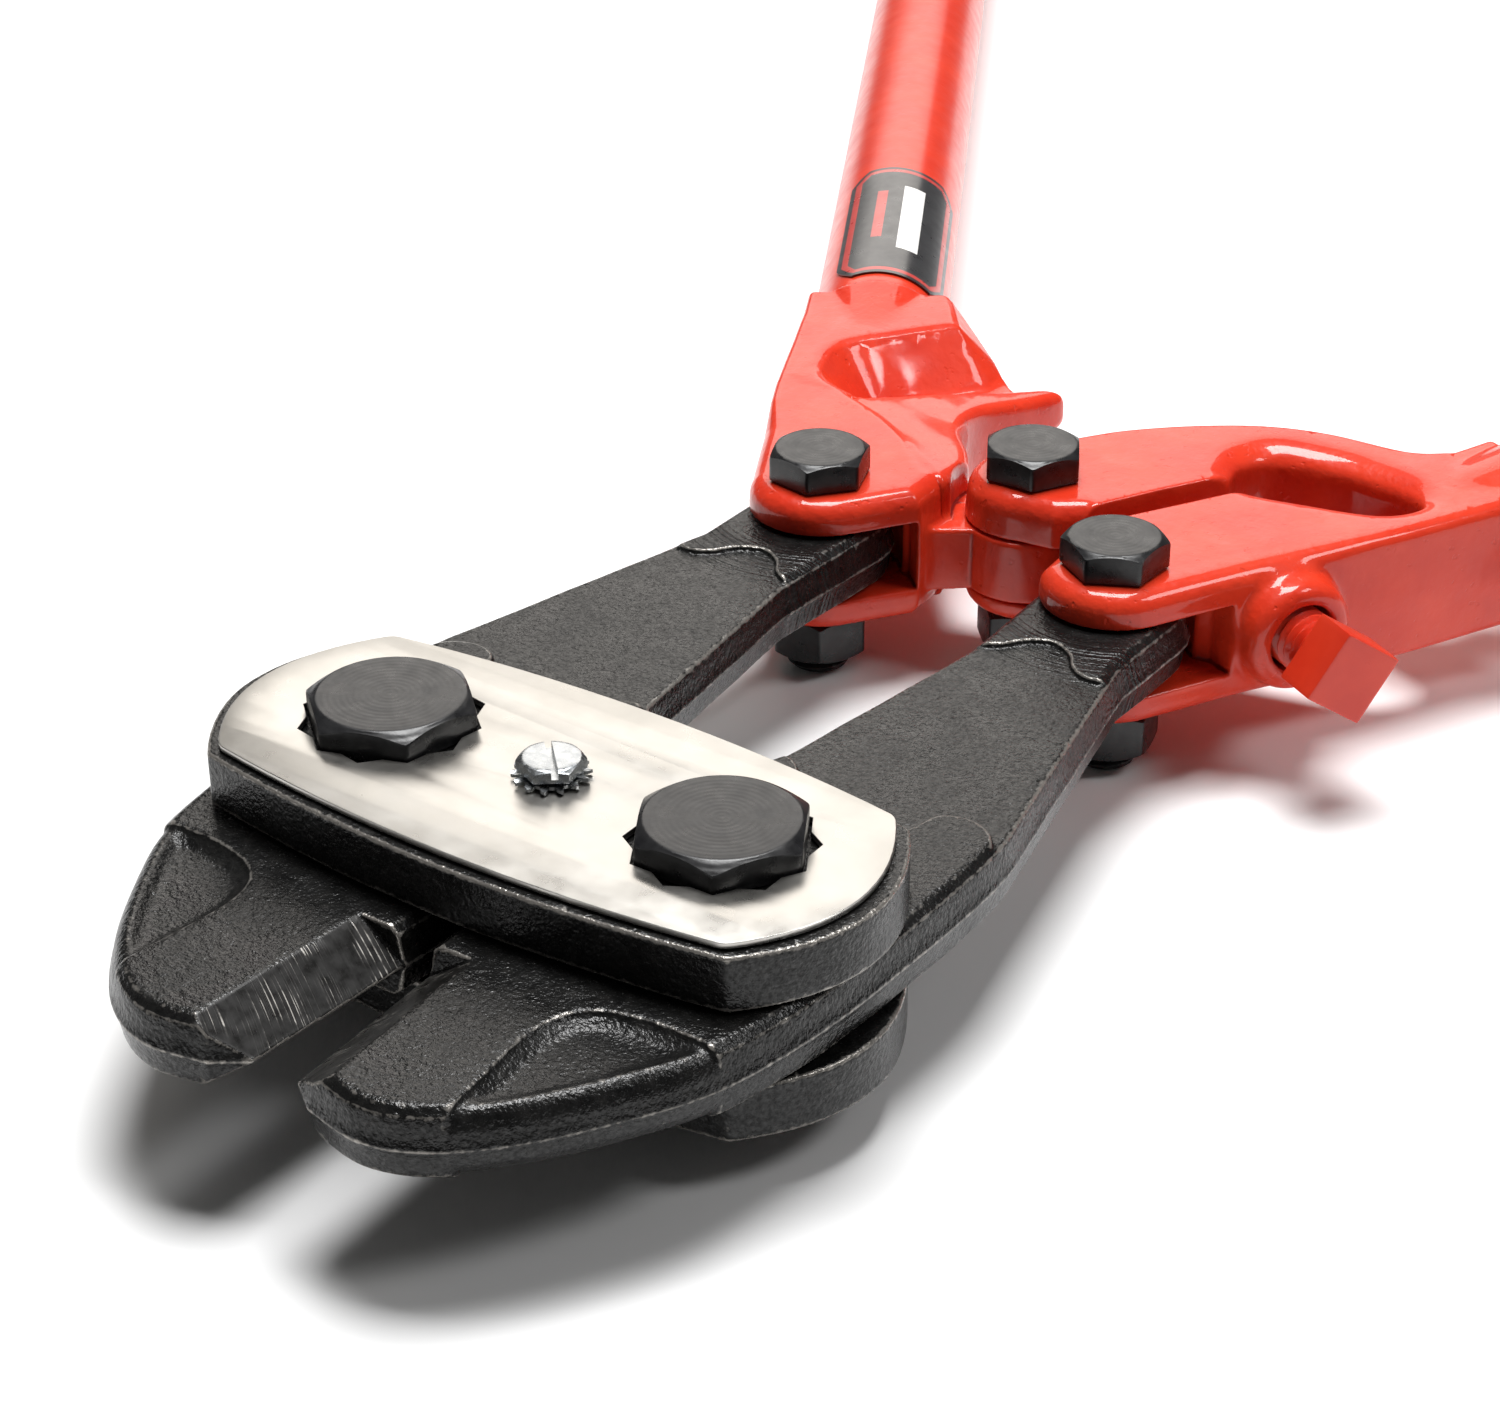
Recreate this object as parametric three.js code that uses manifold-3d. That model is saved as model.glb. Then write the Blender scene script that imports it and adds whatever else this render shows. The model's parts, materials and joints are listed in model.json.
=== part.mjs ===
// Long-handled bolt cutter with centre-cut jaws, drawn half open.
// Millimetres, +Z up.  The origin is on the underside of the lower strap, midway between the jaw
// pivots.  +Y runs from the jaws towards the grips and +X to the right.  Everything hangs in one
// group whose own zero height is the tool's mid-plane, so heights below are counted from there.
import * as THREE from 'three';
import { mergeVertices } from 'three/addons/utils/BufferGeometryUtils.js';
import Module from 'manifold-3d';

const wasm = await Module();
wasm.setup();

// ---- Driving dimensions --------------------------------------------------------------------
const GAP = 0.3;                    // running gap between touching pieces
const DEG = Math.PI / 180;

const JAW_PIVOT_X = 36.8;           // jaw pivots at (+-36.8, 0)
const HEEL = { x: 35.3, y: 134.2 }; // jaw-to-handle pivots at (+-35.3, 134.2)
const CENTRE_Y = 161.1;             // centre pivot between the two handle castings

const JAW_HALF = 7.45;              // half the thickness of a jaw
const JAW_CLOSING = 3.53 * DEG;     // how far each jaw turns until the edges meet
const STRAP_THICK = 10.7;
const PLATE_THICK = 1.25;
const STRAP_IN = JAW_HALF + GAP;
const STRAP_OUT = STRAP_IN + STRAP_THICK;
const SEAT = { inner: 9, outer: 10, depth: 0.4 }; // ring groove round the lower strap's flat
const PLATE_IN = STRAP_OUT + GAP;
const PLATE_OUT = PLATE_IN + PLATE_THICK;

const CAST_HALF = 14.9;             // half the thickness of a handle casting
const LOBE_R = 15.3;                // rounded end of a casting around the jaw-to-handle pivot
const CENTRE_LOBE_R = 14.3;         // rounded end around the centre pivot
const TONGUE_TOP = 4.9;             // left casting's tongue between the right casting's ears
const TONGUE_BOTTOM = -9.4;
// Slot in the tongue for the centre bolt: its length beside the bolt, drop and extra width
const OPEN_PIVOT_PLAY = { in: 3.4, out: 2.3, drop: 0.2, extra: 0.4 };
const EAR_CLEARANCE = 2.4;          // round the ears, for the same play

const TUBE_R = 15.875;              // 1 1/4 inch handle tube
const TUBE_BORE_R = 13.5;
const TUBE_LENGTH = 606;
const TUBE_ANGLE = 30 * DEG;        // each handle leans this far out from +Y
const SPIGOT_R = 13.1;              // tenon of the casting inside the tube
const SPIGOT_LENGTH = 42;
const GRIP_R = 18.6;
const GRIP_LENGTH = 152;
const GRIP_END_WALL = 4;

const JAW_BOLT = { across: 28.6, shank: 9.5, top: 24.7, nut: 9.6, tail: -29 };
const HEEL_BOLT = { across: 19.05, shank: 7, top: 21.5, nut: 9.8, tail: -29 };
const PLATE_SCREW = { across: 11.1, shank: 3.17, top: 24.3, tail: 9 };
const WASHER = { inner: 3.6, root: 6.1, tip: 7.2, thick: 1, teeth: 14 };
const ADJUSTER = { thread: 6.5, square: 15, head: 10, neck: 7.5, reach: 44.6 };

// Casting ends where the tubes begin, on each tube's axis
const TUBE_START = { left: [-79.6, 222.1], right: [83.7, 223.9] };
// Centre of the adjusting screw's boss face, and the screw's outward direction
const BOSS = { x: 69.1, y: 152.8, r: 11.4, bore: 7.4, angle: -30 * DEG };

// ---- Materials -------------------------------------------------------------------------------
const finish = (color, roughness, metalness) =>
  new THREE.MeshStandardMaterial({ color, roughness, metalness });
const RED = finish(0xd8311e, 0.3, 0.0);
const BLACK = finish(0x1d1d1e, 0.5, 0.6);
const NICKEL = finish(0xd9d4c8, 0.18, 1.0);
const ZINC = finish(0xb9bcc0, 0.3, 1.0);
const RUBBER = finish(0x161616, 0.8, 0.0);
const LABEL = finish(0x202020, 0.5, 0.0);

// ---- Solid helpers ---------------------------------------------------------------------------
function solid(geometry) {
  const bare = geometry.index ? geometry.toNonIndexed() : geometry.clone();
  bare.deleteAttribute('normal');
  bare.deleteAttribute('uv');
  const merged = mergeVertices(bare, 1e-4);
  return new wasm.Manifold(new wasm.Mesh({
    numProp: 3,
    vertProperties: new Float32Array(merged.attributes.position.array),
    triVerts: new Uint32Array(merged.index.array),
  }));
}

function meshOf(name, body, material) {
  const { vertProperties, triVerts, numProp } = body.getMesh();
  const positions = new Float32Array(triVerts.length * 3);
  triVerts.forEach((vertex, i) => {
    for (let axis = 0; axis < 3; axis += 1) {
      positions[3 * i + axis] = vertProperties[numProp * vertex + axis];
    }
  });
  const geometry = new THREE.BufferGeometry();
  geometry.setAttribute('position', new THREE.BufferAttribute(positions, 3));
  geometry.computeVertexNormals();
  const mesh = new THREE.Mesh(geometry, material);
  mesh.name = name;
  return mesh;
}

// A flat outline raised from height low to height high, its edges rounded by `round`
function slab(shape, low, high, round = 0, curveSegments = 3) {
  const geometry = new THREE.ExtrudeGeometry(shape, {
    depth: high - low - 2 * round,
    curveSegments,
    bevelEnabled: round > 0,
    bevelThickness: round,
    bevelSize: round,
    bevelOffset: -round,
    bevelSegments: 2,
  });
  return solid(geometry.translate(0, 0, low + round));
}

// A round rod along Z
function rod(x, y, radius, low, high, sides = 24) {
  const geometry = new THREE.CylinderGeometry(radius, radius, high - low, sides);
  return solid(geometry.rotateX(Math.PI / 2).translate(x, y, (low + high) / 2));
}

// A six-sided prism along Z, chamfered to a circle at the faces named in `chamfer`
function hexagon(across, low, high, chamfer = 'both') {
  const corner = across / Math.sqrt(3);
  const prism = new THREE.CylinderGeometry(corner, corner, high - low, 6)
    .rotateX(Math.PI / 2).rotateZ(Math.PI / 2).translate(0, 0, (low + high) / 2);
  const drop = 0.09 * across;
  const flat = 0.475 * across;
  const topEdge = [new THREE.Vector2(corner + 1, high - drop), new THREE.Vector2(flat, high)];
  const lowEdge = chamfer === 'both'
    ? [new THREE.Vector2(flat, low), new THREE.Vector2(corner + 1, low + drop)]
    : [new THREE.Vector2(corner + 1, low)];
  const profile = [
    new THREE.Vector2(0, low), ...lowEdge, ...topEdge, new THREE.Vector2(0, high),
  ];
  const cone = new THREE.LatheGeometry(profile, 18).rotateX(Math.PI / 2);
  return solid(prism).intersect(solid(cone));
}

function outline(points) {
  const shape = new THREE.Shape();
  shape.moveTo(...points[0]);
  points.slice(1).forEach((point) => shape.lineTo(...point));
  shape.closePath();
  return shape;
}

const vectors = (points) => points.map(([x, y]) => new THREE.Vector2(x, y));
const hexTurn = (mesh, degrees) => {
  mesh.rotation.z = degrees * DEG;
  return mesh;
};

// ---- Head: two straps, lock plate and their bolts ------------------------------------------
// Outline shared by the straps and, drawn in a little, by the lock plate
function strapShape(inset) {
  const front = 57 - 0.5 * inset;
  const back = 59.5 - inset;
  const tip = 69 - inset;
  const shape = new THREE.Shape();
  shape.moveTo(-front, -27 + inset / 2);
  shape.quadraticCurveTo(0, -37.5 + inset, front, -27 + inset / 2);
  shape.quadraticCurveTo(2 * tip - (front + back) / 2, -3, back, 23.5);
  shape.quadraticCurveTo(0, 35.5 - inset, -back, 23.5);
  shape.quadraticCurveTo(-2 * tip + (front + back) / 2, -3, -front, -27 + inset / 2);
  return shape;
}

function boltHoles(body, radius, low, high) {
  const left = rod(-JAW_PIVOT_X, 0, radius, low, high);
  const right = rod(JAW_PIVOT_X, 0, radius, low, high);
  return body.subtract(left).subtract(right);
}

function makeStrap(low, high) {
  const blank = slab(strapShape(0), low, high, 0, 7);
  return boltHoles(blank, JAW_BOLT.shank + GAP, low - 1, high + 1);
}

// The upper strap is drilled for the lock plate's screw
function makeUpperStrap() {
  const hole = rod(0, 0, PLATE_SCREW.shank + GAP, STRAP_IN - 1, STRAP_OUT + 1, 16);
  return meshOf('strap_upper', makeStrap(STRAP_IN, STRAP_OUT).subtract(hole), BLACK);
}

// The lower strap has a ring groove in its outer face, round a small flat
function makeLowerStrap() {
  const face = -STRAP_OUT;
  const groove = rod(0, 0, SEAT.outer, face - 1, face + SEAT.depth)
    .subtract(rod(0, 0, SEAT.inner, face - 2, face + 1));
  return meshOf('strap_lower', makeStrap(face, -STRAP_IN).subtract(groove), BLACK);
}

// The head of each jaw bolt sits in a twelve-pointed opening, two hexagons turned by 30 degrees
function starCutter(x, degrees) {
  const corner = JAW_BOLT.across / Math.sqrt(3) + 0.5;
  const hexes = [0, 30].map((turn) => {
    const prism = new THREE.CylinderGeometry(corner, corner, 6, 6)
      .rotateX(Math.PI / 2).rotateZ(Math.PI / 2 + (degrees + turn) * DEG);
    return solid(prism.translate(x, 0, PLATE_OUT));
  });
  return hexes[0].add(hexes[1]);
}

const HEAD_TURN = { left: 20, right: 0.5 }; // degrees each jaw bolt's head is turned

function makeLockPlate() {
  const blank = slab(strapShape(3), PLATE_IN, PLATE_OUT, 0, 7);
  const open = blank
    .subtract(starCutter(-JAW_PIVOT_X, HEAD_TURN.left))
    .subtract(starCutter(JAW_PIVOT_X, HEAD_TURN.right))
    .subtract(rod(0, 0, PLATE_SCREW.shank + GAP, PLATE_IN - 1, PLATE_OUT + 1, 16));
  return meshOf('lock_plate', open, NICKEL);
}

// A bolt stands on its own axis: head from `seat` up to its top, shank down to its tail
function makeBolt(name, bolt, seat) {
  const head = hexagon(bolt.across, seat, bolt.top, 'top');
  const shank = rod(0, 0, bolt.shank, bolt.tail, seat + 1);
  return meshOf(name, head.add(shank), BLACK);
}

function makeNut(name, bolt, seat) {
  const blank = hexagon(bolt.across, seat - bolt.nut, seat);
  const bored = blank.subtract(rod(0, 0, bolt.shank + GAP, seat - bolt.nut - 1, seat + 1));
  return meshOf(name, bored, BLACK);
}

function makePlateScrew() {
  const seat = PLATE_OUT + WASHER.thick + 2 * GAP;
  const head = hexagon(PLATE_SCREW.across, seat, PLATE_SCREW.top, 'top');
  const shank = rod(0, 0, PLATE_SCREW.shank, PLATE_SCREW.tail, seat + 0.5, 16);
  const slot = new THREE.BoxGeometry(1.5, 16, 1.6).translate(0, 0, PLATE_SCREW.top);
  return meshOf('plate_screw', head.add(shank).subtract(solid(slot)), ZINC);
}

function makeStarWasher() {
  const points = [];
  for (let i = 0; i < 2 * WASHER.teeth; i += 1) {
    const radius = i % 2 ? WASHER.root : WASHER.tip;
    const angle = (i * Math.PI) / WASHER.teeth;
    points.push([radius * Math.cos(angle), radius * Math.sin(angle)]);
  }
  const low = PLATE_OUT + GAP;
  const disc = slab(outline(points), low, low + WASHER.thick);
  const hole = rod(0, 0, WASHER.inner, low - 1, low + 3, 16);
  return meshOf('star_washer', disc.subtract(hole), ZINC);
}

// ---- Jaws ------------------------------------------------------------------------------------
// Distance of the cutting edge from the centre line at rest; closing brings it to zero
const edgeX = (y) => 0.15 + Math.abs(y) * Math.tan(JAW_CLOSING);
const TIP_Y = -73.4;
const BEVEL_BACK_Y = -38;
const BEVEL_WIDTH = 10.5;
const POCKET_DEPTH = 2.3;

function jawShape(side) {
  const at = ([x, y]) => [side * x, y];
  const curve = (shape, points) => shape.splineThru(vectors(points.map(at)));
  const shape = new THREE.Shape();
  shape.moveTo(...at([edgeX(TIP_Y), TIP_Y]));
  curve(shape, [[11, -78], [23, -80], [34, -76], [45, -65.5], [55, -50.5], [62.5, -35],
    [66.5, -12], [67.5, 15], [66.8, 42], [63, 60.5]]);
  shape.lineTo(...at([51, 112]));
  const reach = 15.7;
  for (let angle = 0; angle <= 180; angle += 20) {
    const x = HEEL.x + reach * Math.cos(angle * DEG);
    shape.lineTo(...at([x, HEEL.y + reach * Math.sin(angle * DEG)]));
  }
  shape.lineTo(...at([21.4, 102.2]));
  shape.lineTo(...at([14.6, 49.5]));
  curve(shape, [[9.5, 36], [4.5, 22], [1.6, 8], [1.2, -4]]);
  shape.lineTo(...at([edgeX(BEVEL_BACK_Y) + 0.1, BEVEL_BACK_Y]));
  shape.closePath();
  return shape;
}

// Wedge that leaves the knife bevel on one face (up = 1 top, -1 bottom)
function bevelCutter(side, up) {
  const rise = JAW_HALF / BEVEL_WIDTH;
  const corners = [[-4, -4 * rise], [20, 20 * rise], [-4, 20 * rise]]
    .map(([across, height]) => [side * across, up * height]);
  const length = 60;
  const geometry = new THREE.ExtrudeGeometry(outline(corners), { depth: length, bevelEnabled: false });
  geometry.rotateX(Math.PI / 2);
  geometry.rotateZ(side * JAW_CLOSING);
  return solid(geometry.translate(side * edgeX(BEVEL_BACK_Y), BEVEL_BACK_Y, 0));
}

function makeJaw(name, side) {
  let body = slab(jawShape(side), -JAW_HALF, JAW_HALF, 1, 3);
  body = body.subtract(bevelCutter(side, 1)).subtract(bevelCutter(side, -1));
  const pocket = new THREE.Shape();
  const rim = [[35.4, -69], [33.7, -47.5], [38.5, -38], [50, -35], [60, -35.5], [53.5, -50], [43, -63.5]];
  pocket.setFromPoints(vectors(rim.map(([x, y]) => [side * x, y])));
  [[JAW_HALF - POCKET_DEPTH, JAW_HALF + 1], [-JAW_HALF - 1, -JAW_HALF + POCKET_DEPTH]]
    .forEach(([low, high]) => {
      body = body.subtract(slab(pocket, low, high));
    });
  body = body
    .subtract(rod(side * JAW_PIVOT_X, 0, JAW_BOLT.shank + GAP, -20, 20))
    .subtract(rod(side * HEEL.x, HEEL.y, HEEL_BOLT.shank + GAP, -20, 20));
  return meshOf(name, body, BLACK);
}

// ---- Handle castings -------------------------------------------------------------------------
const along = (start, side, distance, offset = 0) => [
  start[0] + side * distance * Math.sin(TUBE_ANGLE) + offset * Math.cos(TUBE_ANGLE),
  start[1] + distance * Math.cos(TUBE_ANGLE) - side * offset * Math.sin(TUBE_ANGLE),
];

// A rod on a handle's tube axis, from distance `low` to `high` past the end of the casting
function axisRod(start, side, radius, low, high, endRadius = radius, sides = 28) {
  const geometry = new THREE.CylinderGeometry(endRadius, radius, high - low, sides);
  geometry.translate(0, (low + high) / 2, 0).rotateZ(-side * TUBE_ANGLE);
  return solid(geometry.translate(start[0], start[1], 0));
}

// Fork that the jaw's heel swings in: a disc round the pivot and the open front of the casting
function forkCutter(side, wall) {
  const height = JAW_HALF + GAP;
  const disc = rod(side * HEEL.x, HEEL.y, 17.4, -height, height, 32);
  return disc.add(slab(outline(wall), -height, height));
}

function makeLeftCasting() {
  const start = TUBE_START.left;
  const arm = new THREE.Shape();
  arm.absarc(-HEEL.x, HEEL.y, LOBE_R, -160 * DEG, -37 * DEG);
  arm.lineTo(-13.2, 139.4);
  arm.splineThru(vectors([[-13.5, 141], [-14.5, 150], [-21.4, 154], [-36.8, 164.9], [-49.7, 171.2],
    [-63, 176.5], [-67.5, 183], [-69.5, 193], [-62, 205], [-53.5, 217]]));
  arm.lineTo(...along(start, -1, 0, 16.5));
  arm.lineTo(...along(start, -1, 0, -16.5));
  arm.lineTo(-88, 203);
  arm.lineTo(-70.9, 167.7);
  let body = slab(arm, -CAST_HALF, CAST_HALF, 2.2, 3);

  // Tongue around the centre pivot, joined to the arm
  const tongue = rod(0, CENTRE_Y, CENTRE_LOBE_R, TONGUE_BOTTOM, TONGUE_TOP, 36);
  const neck = [[-34, 150], [-17, 140], [-6, 148.5], [-5, 174.5], [-20, 167], [-40, 168]];
  body = body.add(tongue).add(slab(outline(neck), TONGUE_BOTTOM, TONGUE_TOP));

  // Rib that ends in the closing stop: both faces slope from the arm down to the horn's tip
  const rib = new THREE.Shape();
  rib.moveTo(-53, 169);
  rib.lineTo(-51, 175);
  rib.lineTo(-34, 211.5);
  rib.splineThru(vectors([[-30.5, 218], [-26, 218], [-28, 206], [-31, 192],
    [-28.5, 179], [-20, 168]]));
  rib.lineTo(-15, 160);
  rib.lineTo(-15, 150);
  rib.lineTo(-36.8, 160);
  const ribSlope = 11.1 * DEG;
  let ribBody = slab(rib, -CAST_HALF, CAST_HALF, 1.2, 3);
  [1, -1].forEach((up) => {
    const block = new THREE.BoxGeometry(160, 160, 40).translate(0, 80, 20 * up);
    block.rotateX(-up * ribSlope).rotateZ(-32 * DEG);
    ribBody = ribBody.subtract(solid(block.translate(-49.7, 171.2, up * CAST_HALF)));
  });
  const web = [[-64, 174], [-49, 172], [-31, 211], [-36, 217], [-46, 223], [-58, 226], [-72, 205]];
  body = body.add(ribBody).add(slab(outline(web), -2.5, 2.5));

  // Room for the right casting's ears above and below the tongue
  const ears = CENTRE_LOBE_R + EAR_CLEARANCE;
  body = body
    .subtract(rod(0, CENTRE_Y, ears, TONGUE_TOP, CAST_HALF + 5, 36))
    .subtract(rod(0, CENTRE_Y, ears, -CAST_HALF - 5, TONGUE_BOTTOM, 36));

  // Slotted hole for the centre bolt: the pivot that is left open
  const play = OPEN_PIVOT_PLAY;
  const hole = HEEL_BOLT.shank + GAP + play.extra;
  const slotY = CENTRE_Y - play.drop;
  const slot = rod(-play.out, slotY, hole, -20, 20)
    .add(rod(play.in, slotY, hole, -20, 20))
    .add(slab(outline([[-play.out, slotY - hole], [play.in, slotY - hole],
      [play.in, slotY + hole], [-play.out, slotY + hole]]), -20, 20));

  const front = [[-80, 136], [-80, 90], [-6, 90], [-12.9, 138.2], [-19, 144]];
  body = body
    .subtract(slot)
    .subtract(forkCutter(-1, front))
    .subtract(rod(-HEEL.x, HEEL.y, HEEL_BOLT.shank + GAP, -20, 20))
    .add(axisRod(start, -1, 15.2, -24, -0.02, 18.2))
    .add(axisRod(start, -1, SPIGOT_R, -8, SPIGOT_LENGTH));
  return meshOf('handle_casting_left', body, RED);
}

function makeRightCasting() {
  const start = TUBE_START.right;
  const shape = new THREE.Shape();
  // From the jaw pivot's lobe up the outer side to the tube
  shape.absarc(HEEL.x, HEEL.y, LOBE_R, -150 * DEG, -28 * DEG);
  shape.lineTo(58.3, 145.5);
  shape.lineTo(77.4, 180.5);
  shape.lineTo(...along(start, 1, -12, 14.3));
  shape.lineTo(...along(start, 1, 0, 16.5));
  // Back over the arched arm to the centre pivot's lobe
  shape.lineTo(...along(start, 1, 0, -16.5));
  shape.splineThru(vectors([[66, 221.5], [58.5, 217], [42.4, 215.7], [28, 211.1], [15.4, 202.9],
    [4.2, 192.3], [-2.5, 183], [-9.5, 171.8]]));
  shape.absarc(0, CENTRE_Y, CENTRE_LOBE_R, 132 * DEG, 290 * DEG);
  shape.lineTo(12.5, 148.6);
  shape.lineTo(17.2, 152.2);
  // Slit and oval opening, which let the adjusting screw spread the two arms
  shape.lineTo(26, 169.2);
  shape.lineTo(34.2, 183.3);
  shape.splineThru(vectors([[32.6, 192], [37, 199.5], [49.5, 202], [62, 201], [70.5, 198],
    [73, 192.5], [67.7, 185.3], [53, 181]]));
  shape.lineTo(40, 178.9);
  shape.lineTo(26.1, 154.5);
  shape.lineTo(20.6, 144);
  let body = slab(shape, -CAST_HALF, CAST_HALF, 2.2, 3);

  // Boss of the adjusting screw, with a bore through to the slit
  const boss = new THREE.CylinderGeometry(BOSS.r, BOSS.r + 2.5, 16, 32).translate(0, -8, 0);
  const bore = new THREE.CylinderGeometry(BOSS.bore, BOSS.bore, 42, 24).translate(0, -20.5, 0);
  [boss, bore].forEach((geometry) => {
    geometry.rotateZ(-Math.PI / 2 + BOSS.angle).translate(BOSS.x, BOSS.y, 0);
  });

  // Slot between the two ears that hold the left casting's tongue
  const slotR = CENTRE_LOBE_R + EAR_CLEARANCE + 0.9;
  const earSlot = [[0, CENTRE_Y], [-2, CENTRE_Y + 4]]
    .map(([x, y]) => rod(x, y, slotR, TONGUE_BOTTOM - GAP, TONGUE_TOP + GAP, 36));
  const front = [[-6, 136], [0, 90], [80, 90], [66, 138], [58.9, 144], [51.5, 147]];
  body = body
    .add(solid(boss))
    .subtract(solid(bore))
    .subtract(earSlot[0])
    .subtract(earSlot[1])
    .subtract(forkCutter(1, front))
    .subtract(rod(0, CENTRE_Y, HEEL_BOLT.shank + GAP, -20, 20))
    .subtract(rod(HEEL.x, HEEL.y, HEEL_BOLT.shank + GAP, -20, 20))
    .add(axisRod(start, 1, 15.2, -24, -0.02, 18.2))
    .add(axisRod(start, 1, SPIGOT_R, -8, SPIGOT_LENGTH));
  return meshOf('handle_casting_right', body, RED);
}

// ---- Tubes, grips, label and adjusting screw ----------------------------------------------
// A turned piece standing on +Y, made from [radius, height] pairs that close on themselves
function turned(name, profile, material, sides = 32) {
  const points = vectors([...profile, profile[0]]);
  return meshOf(name, solid(new THREE.LatheGeometry(points, sides)), material);
}

function makeTube(name) {
  const profile = [[TUBE_BORE_R, 0.6], [TUBE_R, 0.6], [TUBE_R, TUBE_LENGTH], [TUBE_BORE_R, TUBE_LENGTH]];
  return turned(name, profile, RED);
}

function makeGrip(name) {
  const inner = TUBE_R + GAP;
  const end = TUBE_LENGTH + GAP + GRIP_END_WALL;
  const low = end - GRIP_LENGTH;
  const profile = [
    [0, end - GRIP_END_WALL], [inner, end - GRIP_END_WALL], [inner, low], [GRIP_R - 1, low],
    [GRIP_R, low + 3], [GRIP_R, end - 4], [GRIP_R - 3, end], [0, end],
  ];
  return turned(name, profile, RUBBER, 36);
}

// Thin curved plate wrapped over the top of the left tube
function makeLabel() {
  const inner = TUBE_R + 0.3;
  const outer = inner + 0.3;
  const shape = new THREE.Shape();
  shape.absarc(0, 0, outer, 48 * DEG, 152 * DEG);
  shape.absarc(0, 0, inner, 152 * DEG, 48 * DEG, true);
  const geometry = new THREE.ExtrudeGeometry(shape, { depth: 68, curveSegments: 14, bevelEnabled: false });
  // Its length runs along +Y, its middle faces +Z and a little towards the other handle
  geometry.rotateX(Math.PI / 2).rotateY(22 * DEG).translate(0, 76.5, 0);
  return meshOf('tube_label', solid(geometry), LABEL);
}

function makeAdjuster() {
  const { thread, square, head, neck, reach } = ADJUSTER;
  const shank = new THREE.CylinderGeometry(thread, thread, reach + neck + 1, 24)
    .translate(0, (neck + 1 - reach) / 2, 0);
  const block = new THREE.BoxGeometry(square, head, square).rotateY(55 * DEG)
    .translate(0, neck + head / 2, 0);
  const mesh = meshOf('adjusting_screw', solid(shank).add(solid(block)), RED);
  mesh.position.set(BOSS.x, BOSS.y, 0);
  mesh.rotation.z = -Math.PI / 2 + BOSS.angle;
  return mesh;
}

// ---- Assembly --------------------------------------------------------------------------------
function placed(mesh, x, y, degrees = 0) {
  mesh.position.set(x, y, 0);
  return hexTurn(mesh, degrees);
}

function handleGroup(side, start, pieces) {
  const group = new THREE.Group();
  group.position.set(start[0], start[1], 0);
  group.rotation.z = -side * TUBE_ANGLE;
  group.add(...pieces);
  return group;
}

const tool = new THREE.Group();
tool.position.z = STRAP_OUT;

tool.add(
  makeUpperStrap(),
  makeLowerStrap(),
  makeLockPlate(),
  makeStarWasher(),
  hexTurn(makePlateScrew(), 38),
);

const headSeat = STRAP_OUT + GAP;
[['left', -1], ['right', 1]].forEach(([name, side]) => {
  const x = side * JAW_PIVOT_X;
  tool.add(placed(makeBolt(`jaw_bolt_${name}`, JAW_BOLT, headSeat), x, 0, HEAD_TURN[name]));
  tool.add(placed(makeNut(`jaw_nut_${name}`, JAW_BOLT, -headSeat), x, 0, HEAD_TURN[name]));
  tool.add(makeJaw(`jaw_${name}`, side));
});

tool.add(makeLeftCasting(), makeRightCasting(), makeAdjuster());

const castSeat = CAST_HALF + GAP;
[
  ['heel_bolt_left', 'heel_nut_left', -HEEL.x, HEEL.y, 50.5],
  ['heel_bolt_right', 'heel_nut_right', HEEL.x, HEEL.y, 28],
  ['centre_bolt', 'centre_nut', 0, CENTRE_Y, 1],
].forEach(([bolt, nut, x, y, degrees]) => {
  tool.add(placed(makeBolt(bolt, HEEL_BOLT, castSeat), x, y, degrees));
  tool.add(placed(makeNut(nut, HEEL_BOLT, -castSeat), x, y, degrees + 15));
});

tool.add(
  handleGroup(-1, TUBE_START.left, [
    makeTube('handle_tube_left'),
    makeGrip('grip_left'),
    makeLabel(),
  ]),
  handleGroup(1, TUBE_START.right, [
    makeTube('handle_tube_right'),
    makeGrip('grip_right'),
  ]),
);

export default tool;
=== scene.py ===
"""Bolt cutter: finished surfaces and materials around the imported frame.

Sizes are millimetres in the tool's own plan (x, y) with z counted from the mid-plane of the
jaws, until a mesh is handed to Blender in metres. Castings and jaws are made as signed
distances on a block of small cubes, which gives them the draft, fillets and rounded edges of
forged and cast metal. Turned, six-sided and threaded pieces are rows of rings.
"""
import itertools
import json
import math

import bmesh
import bpy
import numpy as np
import openvdb
from mathutils import Matrix, Vector


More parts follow.
